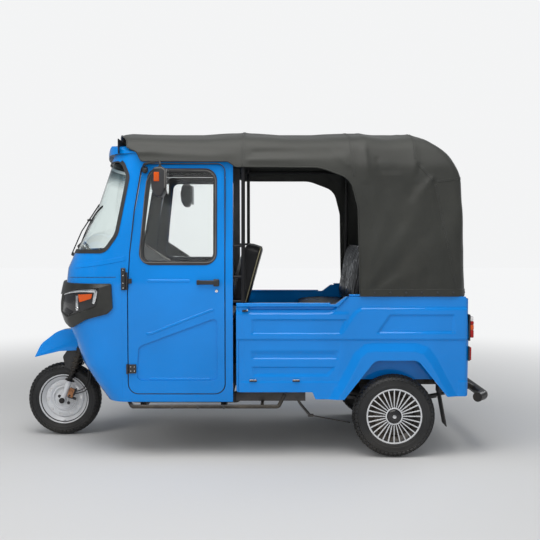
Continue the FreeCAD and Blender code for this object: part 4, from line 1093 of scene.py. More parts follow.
def makeTyre(name, node, body, width):
    low, high = (Vector(corner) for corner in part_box(node))
    centre, radius = (low + high) / 2, (high.z - low.z) / 2
    half = width / 2
    bm = turnedLine(tyreProfile(radius, half, tyreShape["bead"]), centre, tyreShape["steps"])
    lugs = []
    for face in bm.faces:
        spot = face.calc_center_median() - centre
        share = abs(spot.y) / half
        reach = math.hypot(spot.x, spot.z)
        step = int((math.degrees(math.atan2(spot.z, spot.x)) % 360) / 360 * tyreShape["steps"])
        for order, (start, end) in enumerate(treadColumns):
            shifted = step + order + (2 if spot.y > 0 else 0)
            if start < share < end and reach > radius - tyreShape["treadDeep"] and shifted % 3:
                lugs.append(face)
    bmesh.ops.inset_region(bm, faces=lugs, thickness=tyreShape["lugInset"], depth=tyreShape["lugDepth"],
                           use_even_offset=True)
    piece = finishPiece(name, bm, body, rubberTyre, "tyre_rubber", sharpAngle=28)
    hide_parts(node)


def aboutWheel(bm, centre, outward):
    # a wheel piece built about the origin, its face towards -Y, goes to its hub
    if outward > 0:
        bmesh.ops.scale(bm, vec=(1, -1, 1), verts=bm.verts)
        bmesh.ops.reverse_faces(bm, faces=bm.faces)
    bmesh.ops.translate(bm, verts=bm.verts, vec=centre)
    return bm


def spinShell(profile, thickness, steps):
    # an open (radius, y) line turned about Y and given a wall
    bm = turnedLine(profile, Vector((0, 0, 0)), steps, closed=False)
    bmesh.ops.solidify(bm, geom=bm.faces[:], thickness=thickness)
    bmesh.ops.recalc_face_normals(bm, faces=bm.faces)
    return bm


def ringOf(bm, profile, steps):
    joinInto(bm, turnedLine(profile, Vector((0, 0, 0)), steps))


barrelOuter = [(0.1705, 0.0430), (0.1690, 0.0450), (0.1665, 0.0452), (0.1640, 0.0430), (0.1600, 0.0360),
               (0.1545, 0.0330), (0.1500, 0.0300), (0.1420, 0.0200), (0.1320, 0.0120)]
barrelInner = [(0.1690, 0.0400), (0.1580, 0.0320), (0.1545, 0.0290), (0.1460, 0.0190), (0.1360, 0.0140)]
rimBarrel = [(reach, -y) for reach, y in barrelOuter] + barrelOuter[::-1]
rimBarrel += barrelInner + [(reach, -y) for reach, y in barrelInner[::-1]]
frontDisc = {
    "profile": [(0.1330, 0.0000), (0.1315, -0.0100), (0.1290, -0.0155), (0.1250, -0.0180),
                (0.1140, -0.0190), (0.1020, -0.0180),
                (0.0940, -0.0140), (0.0900, -0.0100), (0.0865, -0.0125), (0.0830, -0.0165),
                (0.0790, -0.0170), (0.0755, -0.0140),
                (0.0720, -0.0080), (0.0640, -0.0060), (0.0600, -0.0080), (0.0560, -0.0125),
                (0.0520, -0.0130), (0.0260, -0.0135)],
    "thickness": 0.003, "holes": 10, "holeRadius": 0.1130, "holeWide": 0.028, "holeTall": 0.015, "studs": 5,
             "studRadius": 0.041,
    "hub": [(0.030, -0.012), (0.030, -0.030), (0.027, -0.033), (0.0125, -0.033), (0.0125, 0.036),
            (0.038, 0.036), (0.062, 0.030),
            (0.066, 0.024), (0.066, 0.004), (0.030, 0.002)],
    "valve": ((0.0, -0.034, -0.150), (0.0, -0.054, -0.146), 0.0035, None, 10)}


def makeFrontWheel():
    shape = frontDisc
    disc = objectOf("disc", spinShell(shape["profile"], shape["thickness"], 120), paintSilver)
    cutter = bmesh.new()
    path = roundedBox(shape["holeWide"], shape["holeTall"], shape["holeTall"] / 2 * 0.95, step=20)
    for index in range(shape["holes"]):
        turn = Matrix.Rotation(math.tau * (index + 0.4) / shape["holes"], 4, "Y")
        part = bmesh.new()
        addPrism(part, path, lambda point: Vector((point.x, -0.05, point.y + shape["holeRadius"])),
                 Vector((0, 0.1, 0)))
        bmesh.ops.transform(part, matrix=turn, verts=part.verts)
        joinInto(cutter, part)
    cutWith(disc, objectOf("holes", cutter, paintSilver), "DIFFERENCE")
    bm = meshOf(disc)
    ringOf(bm, rimBarrel, 120)
    ringOf(bm, shape["hub"], 64)
    addRound(bm, *shape["valve"])
    wheel = finishPiece("frontWheelDisc", aboutWheel(bm, axleFront, -1), "front_wheel", paintSilver,
                        "silver_paint", sharpAngle=32)
    bm = bmesh.new()
    for index in range(shape["studs"]):
        angle = math.tau * (index + 0.25) / shape["studs"]
        spot = Vector((math.cos(angle), 0, math.sin(angle))) * shape["studRadius"] + Vector((0, -0.0125, 0))
        bolt(bm, spot, (0, -1, 0), 0.0075, 0.009)
    finishPiece("frontWheelNuts", aboutWheel(bm, axleFront, -1), "front_wheel", steelDark, "dark_steel")
    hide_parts("front_rim")


spokeShape = {"count": 28, "inner": 0.048, "outer": 0.166, "wide": 0.0072, "deep": 0.009, "face": -0.041,
              "rimFace": -0.0440,
              "narrow": 0.72, "flare": 0.38, "hollow": 0.003, "bevel": 0.0016}
rearDish = [(0.1330, -0.002), (0.1200, -0.016), (0.0900, -0.024), (0.0560, -0.026), (0.0560, -0.022),
            (0.0900, -0.020), (0.1200, -0.012),
            (0.1330, 0.002)]
rearDrum = [(0.060, -0.020), (0.060, 0.034), (0.088, 0.036), (0.092, 0.040), (0.092, 0.046), (0.017, 0.046),
            (0.017, -0.020)]
spokeRim = [(0.1735, -0.0425), (0.1725, -0.0455), (0.1670, -0.0465), (0.1625, -0.0445), (0.1625, -0.0360),
            (0.1680, -0.0380)]
spokeHub = [(0.0535, -0.0360), (0.0535, -0.0425), (0.0520, -0.0440), (0.0470, -0.0440), (0.0455, -0.0420),
            (0.0455, -0.0300)]
hubCap = [(0.0, -0.0545), (0.012, -0.0540), (0.026, -0.0515), (0.036, -0.0470), (0.0425, -0.0400),
          (0.0450, -0.0340), (0.0450, -0.0200)]
capBolt = [
    # start, end, radius at each end, sides, bevel
    ((0, -0.0535, 0), (0, -0.0570, 0), 0.0125, 0.0115, 32, 0.0008),
           ((0, -0.0565, 0), (0, -0.0620, 0), 0.0085, None, 6, 0.0008),
]


def addSpoke(bm, angle):
    # a flat spoke that widens outwards, with its front edges softened
    shape = spokeShape
    length = shape["outer"] - shape["inner"]
    part = bmesh.new()
    bmesh.ops.create_cube(part, size=1)
    bmesh.ops.scale(part, vec=(shape["wide"], shape["deep"], length), verts=part.verts)
    bmesh.ops.translate(part, verts=part.verts,
                        vec=(0, shape["face"] + shape["deep"] / 2, shape["inner"] + length / 2))
    for vert in part.verts:
        reach = (vert.co.z - shape["inner"]) / length
        vert.co.x *= shape["narrow"] + shape["flare"] * reach
        vert.co.y += (shape["rimFace"] - shape["face"]) * reach - shape["hollow"] * math.sin(math.pi * reach)
    front = [edge for edge in part.edges
             if all(vert.co.y < shape["face"] + shape["deep"] * 0.5 for vert in edge.verts)]
    bevelEdges(part, front, shape["bevel"])
    bmesh.ops.transform(part, matrix=Matrix.Rotation(angle, 4, "Y"), verts=part.verts)
    joinInto(bm, part)


def makeRearWheel(side, centre, outward):
    def wheelPiece(name, bm, material, slotName):
        return finishPiece(name + "_" + side, aboutWheel(bm, centre, outward), "rear_wheel_" + side,
                           material, slotName, sharpAngle=32)

    bm = bmesh.new()
    ringOf(bm, rimBarrel, 120)
    ringOf(bm, rearDish, 96)
    ringOf(bm, rearDrum, 64)
    rim = wheelPiece("rearRim", bm, paintBlack, "black_paint")
    bm = bmesh.new()
    for index in range(spokeShape["count"]):
        addSpoke(bm, math.tau * index / spokeShape["count"])
    ringOf(bm, spokeRim, 120)
    ringOf(bm, spokeHub, 64)
    wheelPiece("rearSpokes", bm, paintSilver, "silver_paint")
    wheelPiece("rearCap", spinShell(hubCap, 0.0015, 64), plasticGloss, "black_plastic")
    bm = bmesh.new()
    addAll(bm, addRound, capBolt)
    wheelPiece("rearCapBolt", bm, chrome, "silver_paint")
    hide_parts("rear_rim_" + side)


makeTyre("frontTyre", "front_tyre", "front_wheel", tyreShape["frontWidth"])
makeFrontWheel()
for side, outward in zip(bothSides, (-1, 1)):
    makeTyre("rearTyre_" + side, "rear_tyre_" + side, "rear_wheel_" + side, tyreShape["rearWidth"])
    makeRearWheel(side, Vector((axleRearLeft.x, -outward * axleRearLeft.y, axleRearLeft.z)), outward)
print("wheels made")


# seats: four padded pieces, swollen by a cloth simulation, with piping and film creases
cushionRows = {
    # centre, size, lean in degrees, corner radius, how far the cloth may swell
    "driverCushion": {"centre": (-0.305, 0.0, 0.8520), "size": (0.392, 0.970, 0.090), "lean": 0,
                      "corner": 0.050, "swell": 0.010},
    "driverBack": {"centre": (-0.010, 0.0, 1.1140), "size": (0.404, 0.856, 0.112), "lean": -74.5,
                   "corner": 0.060, "swell": 0.012},
    "benchCushion": {"centre": (0.557, 0.0, 0.8570), "size": (0.402, 1.130, 0.098), "lean": 0,
                     "corner": 0.050, "swell": 0.010},
    "benchBack": {"centre": (0.734, 0.0, 1.1150), "size": (0.384, 1.110, 0.080), "lean": -79.5,
                  "corner": 0.060, "swell": 0.012, "channel": 0.085},
}
padding = {"voxel": 0.0105, "pressure": 4.0, "frames": 20, "edge": 0.026, "piping": 0.0042,
           "crease": 0.0017,
           "channelDeep": 0.0065, "channelSoft": 0.00006}


def cushionStart(row):
    long, wide, thick = row["size"]
    path = roundedBox(long, wide, row["corner"], step=10)
    bm = bmesh.new()
    addPrism(bm, path, onPlan(-thick / 2), Vector((0, 0, thick)))
    rims = [edge for edge in bm.edges if abs(edge.verts[0].co.z - edge.verts[1].co.z) < 0.001]
    bevelEdges(bm, rims, padding["edge"], 4)
    return bm


def swellCushion(pad, row):
    # the cover swells under pressure, held at its seams and underside
    long, wide, thick = row["size"]
    before = [vert.co.copy() for vert in pad.data.vertices]
    seam = pad.vertex_groups.new(name="seam")
    for vert in pad.data.vertices:
        spot = vert.co
        side = min(long / 2 - abs(spot.x), wide / 2 - abs(spot.y))
        nearSeam = abs(abs(spot.z) - (thick / 2 - padding["edge"] * 0.5)) < 0.006 and side < 0.012
        if nearSeam or spot.z < -thick / 2 + 0.004:
            seam.add([vert.index], 1.0, "REPLACE")
    cloth = pad.modifiers.new("cloth", "CLOTH")
    cloth.settings.quality = 5
    cloth.settings.mass = 0.4
    cloth.settings.use_pressure = True
    cloth.settings.uniform_pressure_force = padding["pressure"]
    cloth.settings.effector_weights.gravity = 0
    cloth.settings.vertex_group_mass = "seam"
    cloth.point_cache.frame_end = padding["frames"]
    for frameNumber in range(1, padding["frames"] + 1):
        bpy.context.scene.frame_set(frameNumber)
    applyModifiers(pad)
    for vert, start in zip(pad.data.vertices, before):
        move = vert.co - start
        if move.length > row["swell"]:
            vert.co = start + move.normalized() * row["swell"]
    bpy.context.scene.frame_set(1)


def filmCrease(spot, normal, row):
    # sharp low creases of the loose film, running aslant, and the sewn channels of the bench
    aslant = Vector((spot.x * 9 + spot.y * 5, spot.y * 11 - spot.x * 4, spot.z * 12))
    first = 1 - abs(noise.noise(aslant + Vector((7.3, 0, row["swell"] * 900)))) * 2.2
    second = 1 - abs(noise.noise(aslant * 2.3 + Vector((1.3, 8.1, 2.2)))) * 2.2
    sewn = 0.0
    if "channel" in row:
        aside = (spot.y + row["channel"] / 2) % row["channel"] - row["channel"] / 2
        sewn = padding["channelDeep"] * math.exp(-aside ** 2 / padding["channelSoft"]) * max(0, normal.z)
    return padding["crease"] * (max(0, first) ** 3 + 0.5 * max(0, second) ** 3) - sewn


def pipingLoop(row, tree, height):
    # a line round the pad at one height, found by rays from outside
    long, wide = row["size"][:2]
    reach = 0.08
    path = roundedBox(long, wide, row["corner"], step=12)
    dense = []
    for index, point in enumerate(path):
        following = path[(index + 1) % len(path)]
        pieces = max(1, round((following - point).length / 0.02))
        dense += [point.lerp(following, k / pieces) for k in range(pieces)]
    loop = []
    for index, point in enumerate(dense):
        ahead = dense[(index + 1) % len(dense)] - dense[index - 1]
        away = Vector((ahead.y, -ahead.x, 0)).normalized()
        start = Vector((point.x, point.y, height)) + away * reach
        hit = tree.ray_cast(start, -away)[0]
        if hit is not None:
            loop.append(hit)
    return loop


def makeCushion(name, row):
    pad = objectOf(name, cushionStart(row))
    voxelRemesh(pad, padding["voxel"])
    swellCushion(pad, row)
    finer = pad.modifiers.new("finer", "SUBSURF")
    finer.levels = finer.render_levels = 1
    applyModifiers(pad)
    bm = meshOf(pad)
    moveOut(bm, lambda spot, normal: filmCrease(spot, normal, row))
    tree = BVHTree.FromBMesh(bm)
    place = Matrix.Translation(row["centre"]) @ Matrix.Rotation(math.radians(row["lean"]), 4, "Y")
    bmesh.ops.transform(bm, matrix=place, verts=bm.verts)
    piece = finishPiece(name, bm, "body", vinylSeat, "seat_vinyl", sharpAngle=70)
    level = row["size"][2] / 2 - padding["edge"] * 0.5
    for colour, height, finish in (("black", level, vinylSeat), ("olive", -level, pipingOlive)):
        pipe = bmesh.new()
        addTube(pipe, pipingLoop(row, tree, height), padding["piping"], sides=8, closed=True)
        bmesh.ops.transform(pipe, matrix=place, verts=pipe.verts)
        finishPiece(name + "Piping_" + colour, pipe, "body", finish, "seat_vinyl", sharpAngle=70)
    return piece


cushionPieces = [makeCushion(name, row) for name, row in cushionRows.items()]
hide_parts("seats")
print("seats made")


# front fork: coil springs, sliders, seals, axle nuts and the brake caliper
rake = Vector((math.sin(steeringRake), 0, math.cos(steeringRake)))
acrossWay = Vector((0, 1, 0))
rakeTurn = Matrix.Rotation(steeringRake, 4, "Y")
springShape = {"legOffset": 0.078, "low": 0.395, "high": 0.700, "coilRadius": 0.0245, "wire": 0.0052,
               "turns": 9.5,
               "sliderFoot": 0.0150, "sliderRadius": 0.0195, "sliderTop": 0.385, "yoke": 0.754,
               "yokeSize": (0.060, 0.196, 0.028),
               "axleHalf": 0.104, "axleRadius": 0.0095}
forkRounds = [
    # on the steering axis: from and to height, radius, sides, bevel
    (0.738, 0.770, 0.034, 40, 0.003), (0.760, 1.090, 0.018, 32, 0),
]
caliperSpot = axleFront + Vector((0.062, -0.082, 0.052))
brakeLine = [(0, 0, 0), (0.030, -0.004, 0.006), (0.062, -0.002, 0.024), (0.084, 0.008, 0.070),
             (0.092, 0.016, 0.150),
             (0.096, 0.020, 0.260)]


def onAxis(height):
    return axleFront + rake * ((height - axleFront.z) / rake.z)


def addLeg(way, coils, legs, black):
    shape = springShape
    shift, outward = acrossWay * shape["legOffset"] * way, acrossWay * way
    low, high, top = [onAxis(shape[key]) + shift for key in ("low", "high", "sliderTop")]
    ahead = rake.cross(acrossWay)
    count = int(shape["turns"] * 18)
    points = []
    for k in range(count + 1):
        angle = math.tau * shape["turns"] * k / count
        aside = acrossWay * math.cos(angle) + ahead * math.sin(angle)
        points.append(low.lerp(high, k / count) + aside * shape["coilRadius"])
    addTube(coils, points, shape["wire"], sides=8)
    centre = axleFront + shift
    addAll(black, addRound, [
        # start, end, radius, radius at the end, sides, bevel
        (low - rake * 0.012, low - rake * 0.004, 0.031, None, 32, 0.002),
        (high + rake * 0.002, high + rake * 0.016, 0.033, None, 32, 0.003),
        (low - rake * 0.004, high, 0.0165, None, 24),
        (high + rake * 0.014, onAxis(0.760) + shift, 0.017, None, 24),
        (centre + outward * 0.017, centre + outward * 0.024, 0.0195, None, 32, 0.0015),
    ])
    bolt(black, centre + outward * 0.0235, outward, 0.013, 0.011)
    addAll(legs, addRound, [
        (centre - rake * 0.030, top, shape["sliderFoot"], shape["sliderRadius"], 32, 0.003),
        (top - rake * 0.004, top + rake * 0.006, 0.0215, None, 32, 0.002),
        (centre - acrossWay * 0.018, centre + acrossWay * 0.018, 0.024, None, 32, 0.003),
    ])


def makeCaliper():
    spot = caliperSpot
    grip = bmesh.new()
    addBlock(grip, spot, (0.040, 0.030, 0.062), bevel=0.006, segments=3, turn=rakeTurn)
    addRound(grip, spot + Vector((0, -0.012, 0.006)), spot + Vector((0, -0.022, 0.006)), 0.014, sides=24,
             bevel=0.002)
    finishPiece("caliperBody", grip, "steering", copper, "dark_steel", sharpAngle=32)
    lines = bmesh.new()
    addBlock(lines, spot + Vector((0.004, 0.004, -0.036)), (0.058, 0.020, 0.014), bevel=0.003,
             turn=rakeTurn)
    addBlock(lines, spot + Vector((0.024, 0.000, 0.004)), (0.010, 0.034, 0.050), bevel=0.003, turn=rakeTurn)
    for lift, reach in ((0.010, 0.0), (-0.006, 0.012)):
        start = spot + Vector((0.026, -0.004, lift))
        points = [start + Vector((x + (reach if order > 1 else 0), y, z)) for order,
                  (x, y, z) in enumerate(brakeLine)]
        addTube(lines, smoothLine(points), 0.0038, sides=8)
    bolt(lines, spot + Vector((-0.010, -0.016, -0.018)), (0, -1, 0), 0.005, 0.004)
    finishPiece("caliperLines", lines, "steering", plasticBlack, "black_plastic", sharpAngle=50)


def makeFork():
    shape = springShape
    coils, legs, black = bmesh.new(), bmesh.new(), bmesh.new()
    for way in (-1, 1):
        addLeg(way, coils, legs, black)
    addBlock(black, onAxis(shape["yoke"]), shape["yokeSize"], bevel=0.006, turn=rakeTurn)
    for low, high, radius, sides, bevel in forkRounds:
        addRound(black, onAxis(low), onAxis(high), radius, sides=sides, bevel=bevel)
    half = acrossWay * shape["axleHalf"]
    addRound(black, axleFront - half, axleFront + half, shape["axleRadius"], sides=24)
    column = finishPiece("forkFrame", black, "steering", paintBlack, "black_paint", sharpAngle=32)
    finishPiece("forkSprings", coils, "steering", paintBlack, "black_paint", sharpAngle=60)
    finishPiece("forkSliders", legs, "steering", paintSilver, "silver_paint", sharpAngle=32)
    makeCaliper()
    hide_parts("fork")


def smoothLine(points, pieces=8):
    # a Catmull-Rom line through a few points
    points = [Vector(point) for point in points]
    line = []
    for index in range(len(points) - 1):
        before = points[max(index - 1, 0)]
        start, end = points[index], points[index + 1]
        after = points[min(index + 2, len(points) - 1)]
        for k in range(pieces):
            t = k / pieces
            bend = (2 * before - 5 * start + 4 * end - after) * t * t
            twist = (3 * start - before - 3 * end + after) * t ** 3
            line.append(0.5 * (2 * start + (end - before) * t + bend + twist))
    return line + [points[-1]]


makeFork()
print("fork made")

# bed sides: pressed skins with rail, ribs, crease and flared arch
bedShape = {"plane": 0.614, "inner": 0.590, "stepX": 0.0075, "stepZ": 0.0040, "front": -0.063,
            "rear": 1.367,
            "low": 0.356, "high": 1.020, "margin": 0.012}
bedOutline = [(-0.063, 0.410, 0.014), (0.406, 0.410, 0.010), (0.424, 0.366, 0.010), (0.599, 0.366, 0),
              (0.788, 0.608, 0.060),
              (1.052, 0.608, 0.060), (1.232, 0.385, 0), (1.361, 0.385, 0.012), (1.367, 0.734, 0),
              (1.347, 1.000, 0.010),
              (0.609, 1.000, 0.030), (0.545, 0.952, 0.020), (-0.063, 0.952, 0.014)]
proudLine = [(0.580, 0.740), (0.585, 0.776), (0.622, 0.840), (0.672, 0.905), (0.708, 0.927), (1.40, 0.927),
             (1.40, 0.20), (0.50, 0.20)]
bedRecesses = [
    # outline, depth, upper flank, lower flank
    ([(0.0366, 0.773), (0.575, 0.773), (0.612, 0.857), (0.0366, 0.857)], 0.0075, 0.010, 0.015),
    ([(0.0366, 0.6175), (0.556, 0.6175), (0.556, 0.655), (0.0366, 0.655)], 0.0085, 0.034, 0.014),
    ([(0.048, 0.514), (0.500, 0.514), (0.540, 0.564), (0.0366, 0.564)], 0.0065, 0.009, 0.024),
    ([(0.807, 0.779), (1.272, 0.779), (1.270, 0.886), (0.882, 0.886)], 0.0085, 0.012, 0.015),
]
flareCrest = [(0.52, 0.30), (0.620, 0.470), (0.700, 0.622), (0.745, 0.660), (0.790, 0.664), (1.035, 0.664),
              (1.085, 0.648),
              (1.130, 0.590), (1.200, 0.460), (1.290, 0.30)]


def insideDistance(x, z, outline):
    # distance to the outline, positive inside
    best, inside = 9.0, False
    for (ax, az), (bx, bz) in zip(outline, outline[1:] + outline[:1]):
        ux, uz = bx - ax, bz - az
        t = max(0.0, min(1.0, ((x - ax) * ux + (z - az) * uz) / (ux * ux + uz * uz)))
        best = min(best, math.hypot(x - ax - ux * t, z - az - uz * t))
        if (az > z) != (bz > z) and x < ax + (z - az) * ux / uz:
            inside = not inside
    return best if inside else -best


def ease(distance, width):
    # soft step across a flank of the given width
    t = max(0.0, min(1.0, distance / width + 0.5))
    return t * t * (3 - 2 * t)


pressing = {
    # how far each step stands out or in, and where it lies
    "field": 0.008, "fieldSoft": 0.014, "frontSoft": 0.024, "shoulder": 0.0055, "skirt": 0.0075,
            "skirtTop": 0.7345,
    "rail": 0.010, "railLow": 0.936, "groove": 0.018, "grooveLow": 0.917, "under": 0.006, "underLow": 0.893,
    "sill": 0.0035, "sillFront": 0.4735, "sillRear": 0.4785, "seam": 0.0014, "seamX": -0.0215,
            "seamSoft": 0.004,
    "flare": 0.021, "flareWide": 0.048, "tuck": 0.020, "tuckFrom": 1.352,
}


def bedHeight(x, z):
    # how far the pressing stands out from the side's plane
    step = pressing
    soft = step["fieldSoft"] if x > 0.70 else step["frontSoft"]
    height = step["field"] * ease(insideDistance(x, z, proudLine), soft)
    height = max(height, step["shoulder"] * (1 - ease(x - 0.62, 0.03)) * (1 - ease(z - 0.9, 0.02)))
    height -= step["skirt"] * (1 - ease(z - step["skirtTop"], 0.013))
    for outline, depth, upper, lower in bedRecesses:
        low, high = outline[0][1], outline[2][1]
        if low - 0.02 < z < high + 0.03:
            flank = lower if z < (low + high) / 2 else upper
            height -= depth * ease(insideDistance(x, z, outline), flank)
    # the rail ends in a slant ahead of the arch
    slant = (z - 0.93) * 0.9
    if x < 0.56 + slant:
        height += step["rail"] * ease(z - step["railLow"], 0.006)
        rail = ease(x - 0.014, 0.010) * ease(0.548 + slant - x, 0.008)
        height -= rail * (step["groove"] * ease(z - step["grooveLow"], 0.004) * ease(step["railLow"] - z,
            0.004))
        height -= rail * step["under"] * ease(z - step["underLow"], 0.010) * ease(step["grooveLow"] - z,
            0.006)
    front = ease(x + 0.03, 0.006) * (1 - ease(x - 0.56, 0.02))
    height += step["sill"] * ease(step["sillFront"] - z, 0.008) * front
    height += step["sill"] * ease(step["sillRear"] - z, 0.008) * ease(x - 1.303, 0.008)
    seam = math.exp(-((x - step["seamX"]) / step["seamSoft"]) ** 2)
    height -= step["seam"] * seam * ease(z - 0.52, 0.01) * ease(0.90 - z, 0.01)
    outside = -insideDistance(x, z, flareCrest)
    if outside < 0.052:
        height += (step["flare"] - height) * (1 - max(0.0, min(1.0, outside / step["flareWide"])))
    height -= step["tuck"] * ease(x - step["tuckFrom"], 0.030) ** 2
    return height


bedRails = [
    # centre, size, bevel, segments: top rails turned in over the wall, front post
    ((0.226, -0.598, 0.954), (0.578, 0.052, 0.012), 0.005, 3),
            ((0.935, -0.588, 1.0065), (0.610, 0.044, 0.011), 0.005, 3),
    ((-0.055, -0.602, 0.68), (0.012, 0.030, 0.53), 0.004, 2),
]
# black blocks: two slots whose black is a painted shadow, and a latch
bedSlots = [
    ((0.041, -0.6215, 0.4800), (0.046, 0.006, 0.009), 0.002),
            ((0.305, -0.6215, 0.4800), (0.046, 0.006, 0.009), 0.002),
    ((-0.008, -0.6245, 0.913), (0.036, 0.012, 0.012), 0.003),
]
# bright steel lips over the slots, their brightness a painted highlight
bedLips = [((0.041, -0.6230, 0.4875), (0.044, 0.007, 0.006), 0.002),
           ((0.305, -0.6230, 0.4875), (0.044, 0.007, 0.006), 0.002)]


def makeBedSides():
    shape = bedShape
    across = round((shape["rear"] - shape["front"]) / shape["stepX"]) + 4
    upward = round((shape["high"] - shape["low"]) / shape["stepZ"])
    levels = [shape["low"] + shape["stepZ"] * k for k in range(upward + 1)]
    bm = bmesh.new()
    grid = []
    for i in range(across + 1):
        x = shape["front"] - shape["margin"] + shape["stepX"] * i
        grid.append([bm.verts.new((x, -shape["plane"] - bedHeight(x, z), z)) for z in levels])
    faceGrid(bm, grid)
    pullRim(bm, lambda y: -shape["inner"])
    bmesh.ops.holes_fill(bm, edges=[edge for edge in bm.edges if edge.is_boundary], sides=0)
    bmesh.ops.recalc_face_normals(bm, faces=bm.faces)
    side = objectOf("bedSide", bm, paintBlue)
    cutShape(side, "INTERSECT", roundedPath(bedOutline), acrossVehicle(-0.75), Vector((0, 0.3, 0)),
             paintBlue)
    bm = meshOf(side)
    addAll(bm, addBlock, bedRails)
    skin = finishPiece("bedSideSkins", bm, "body", paintBlue, "blue_paint", sharpAngle=34, paired=True)
    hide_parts("bed_sides")
    # slots in black as painted shadow, lips in bright steel as painted highlight, and a round lug
    slots, lips = bmesh.new(), bmesh.new()
    addAll(slots, addBlock, bedSlots)
    addAll(lips, addBlock, bedLips)
    addRound(lips, (0.006, -0.622, 0.918), (0.006, -0.634, 0.918), 0.0045, sides=12)
    finishPiece("bedSlots", slots, "body", plasticGloss, "black_plastic", paired=True)
    finishPiece("bedLips", lips, "body", steelBright, "dark_steel", paired=True)


makeBedSides()
print("bed sides made")


# nose mask: sculpted facets, lamp window, silver strip and amber lens
maskRows = {
    # pairs of (x, z, rise) lines, low then high
    "top": ([(-1.160, 0.9960, 0.0105), (-1.140, 1.0035, 0.0115), (-1.030, 1.0420, 0.0125),
             (-0.898, 1.0520, 0.0125), (-0.832, 1.0730, 0.0010)],
            [(-1.165, 1.0735, 0.0006), (-1.140, 1.0738, 0.0006), (-1.030, 1.0745, 0.0006),
             (-0.898, 1.0750, 0.0006), (-0.832, 1.0745, 0.0006)]),
    "rear": ([(-0.915, 0.9350, 0.0125), (-0.827, 0.9290, 0.0008)],
             [(-0.898, 1.0520, 0.0125), (-0.831, 1.0725, 0.0010)]),
    "bottom": ([(-1.165, 0.8500, 0.0006), (-1.093, 0.8030, 0.0006), (-0.985, 0.8625, 0.0006),
                (-0.862, 0.8950, 0.0006), (-0.830, 0.9220, 0.0006)],
               [(-1.165, 0.8990, 0.0105), (-1.100, 0.8655, 0.0125), (-1.010, 0.8990, 0.0125),
                (-0.915, 0.9350, 0.0125), (-0.827, 0.9290, 0.0008)]),
    "wallTop": ([(-1.134, 0.9975, 0.0002), (-1.027, 1.0350, 0.0002), (-0.906, 1.0445, 0.0002)],
                [(-1.140, 1.0035, 0.0115), (-1.030, 1.0420, 0.0125), (-0.898, 1.0520, 0.0125)]),
    "wallRear": ([(-0.906, 1.0445, 0.0002), (-0.921, 0.9430, 0.0002)],
                 [(-0.898, 1.0520, 0.0125), (-0.915, 0.9350, 0.0125)]),
    "wallBottom": ([(-0.921, 0.9430, 0.0002), (-1.013, 0.9080, 0.0002), (-1.101, 0.8745, 0.0002),
                    (-1.150, 0.9000, 0.0002)],
                   [(-0.915, 0.9350, 0.0125), (-1.010, 0.8990, 0.0125), (-1.100, 0.8655, 0.0125),
                    (-1.160, 0.8960, 0.0105)]),
    "wallFront": ([(-1.150, 0.9000, 0.0002), (-1.134, 0.9975, 0.0002)],
                  [(-1.160, 0.8960, 0.0105), (-1.141, 1.0035, 0.0115)]),
}
maskWindow = ([(-1.150, 0.9000, 0), (-1.101, 0.8745, 0), (-1.013, 0.9080, 0), (-0.921, 0.9430, 0)],
              [(-1.134, 0.9975, 0), (-1.101, 1.0090, 0), (-1.027, 1.0350, 0), (-0.906, 1.0445, 0)])
maskLedge = ([(-1.147, 0.9020, 0.0060), (-1.101, 0.8765, 0.0075)],
             [(-1.115, 0.9250, 0.0012), (-1.062, 0.9020, 0.0012)])
silverStrip = [(-1.1296, 1.0000, 0.004), (-1.1040, 1.0115, 0.007), (-1.0770, 1.0195, 0.009),
               (-1.0270, 1.0285, 0.012), (-0.9850, 1.0325, 0.014),
               (-0.9300, 1.0340, 0.018), (-0.9180, 1.0300, 0.020), (-0.9230, 1.0000, 0.019),
               (-0.9290, 0.9720, 0.017), (-0.9370, 0.9500, 0.011)]
amberOutline = ([(-1.0190, 0.9610, 0.0040), (-0.9470, 0.9860, 0.0040)],
                [(-1.0290, 1.0080, 0.0040), (-0.9400, 1.0150, 0.0040)])


def maskReach(normal):
    # the mask stands this far off the cab, more at the nose
    return 0.0148 + 0.0058 * abs(normal.x)


lampBar = {"x": -1.033, "heights": (1.000, 0.975, 0.950, 0.925, 0.912), "radius": 0.0090, "foot": 3,
           "footRadius": 0.0115}
ringRows = {"places": (-0.385, -0.275), "height": 0.968, "radius": 0.034, "innerShare": 0.55}
# the nose panel's shut line, drawn as a black ribbon that is painted shade of the gap
shutLine = [(-1.120, 1.1105), (-1.034, 1.1145), (-0.899, 1.1170), (-0.800, 1.1175)]
creaseLine = [(-1.070, 1.1830), (-1.0376, 1.1864), (-0.9320, 1.1981), (-0.8368, 1.2145), (-0.745, 1.2335)]


def facing(spot, normal):
    # a placement whose Z runs along the normal
    return Matrix.Translation(spot) @ normal.to_track_quat("Z", "Y").to_matrix().to_4x4()


def makeLampStrips(tree):
    strip = bmesh.new()
    points, normals, widths = [], [], []
    for first, second in zip(silverStrip, silverStrip[1:]):
        for k in range(4):
            x, z, width = between(first, second, k / 4)
            spot, normal = layPoint(tree, x, z)
            points.append(spot + normal * (maskReach(normal) + 0.0005))
            normals.append(normal)
            widths.append(width * 1.2)
    addRibbon(strip, points, normals, widths, 0.0060)
    bar = []
    for z in lampBar["heights"]:
        spot, normal = layPoint(tree, lampBar["x"], z)
        bar.append(spot + normal * (maskReach(normal) + 0.004))
    addTube(strip, bar, lampBar["radius"], sides=12)
    addBall(strip, bar[lampBar["foot"]], lampBar["footRadius"], 20, 12)
    finishPiece("lampStrips", strip, "body", lampSilver, "lamp_lens", paired=True)


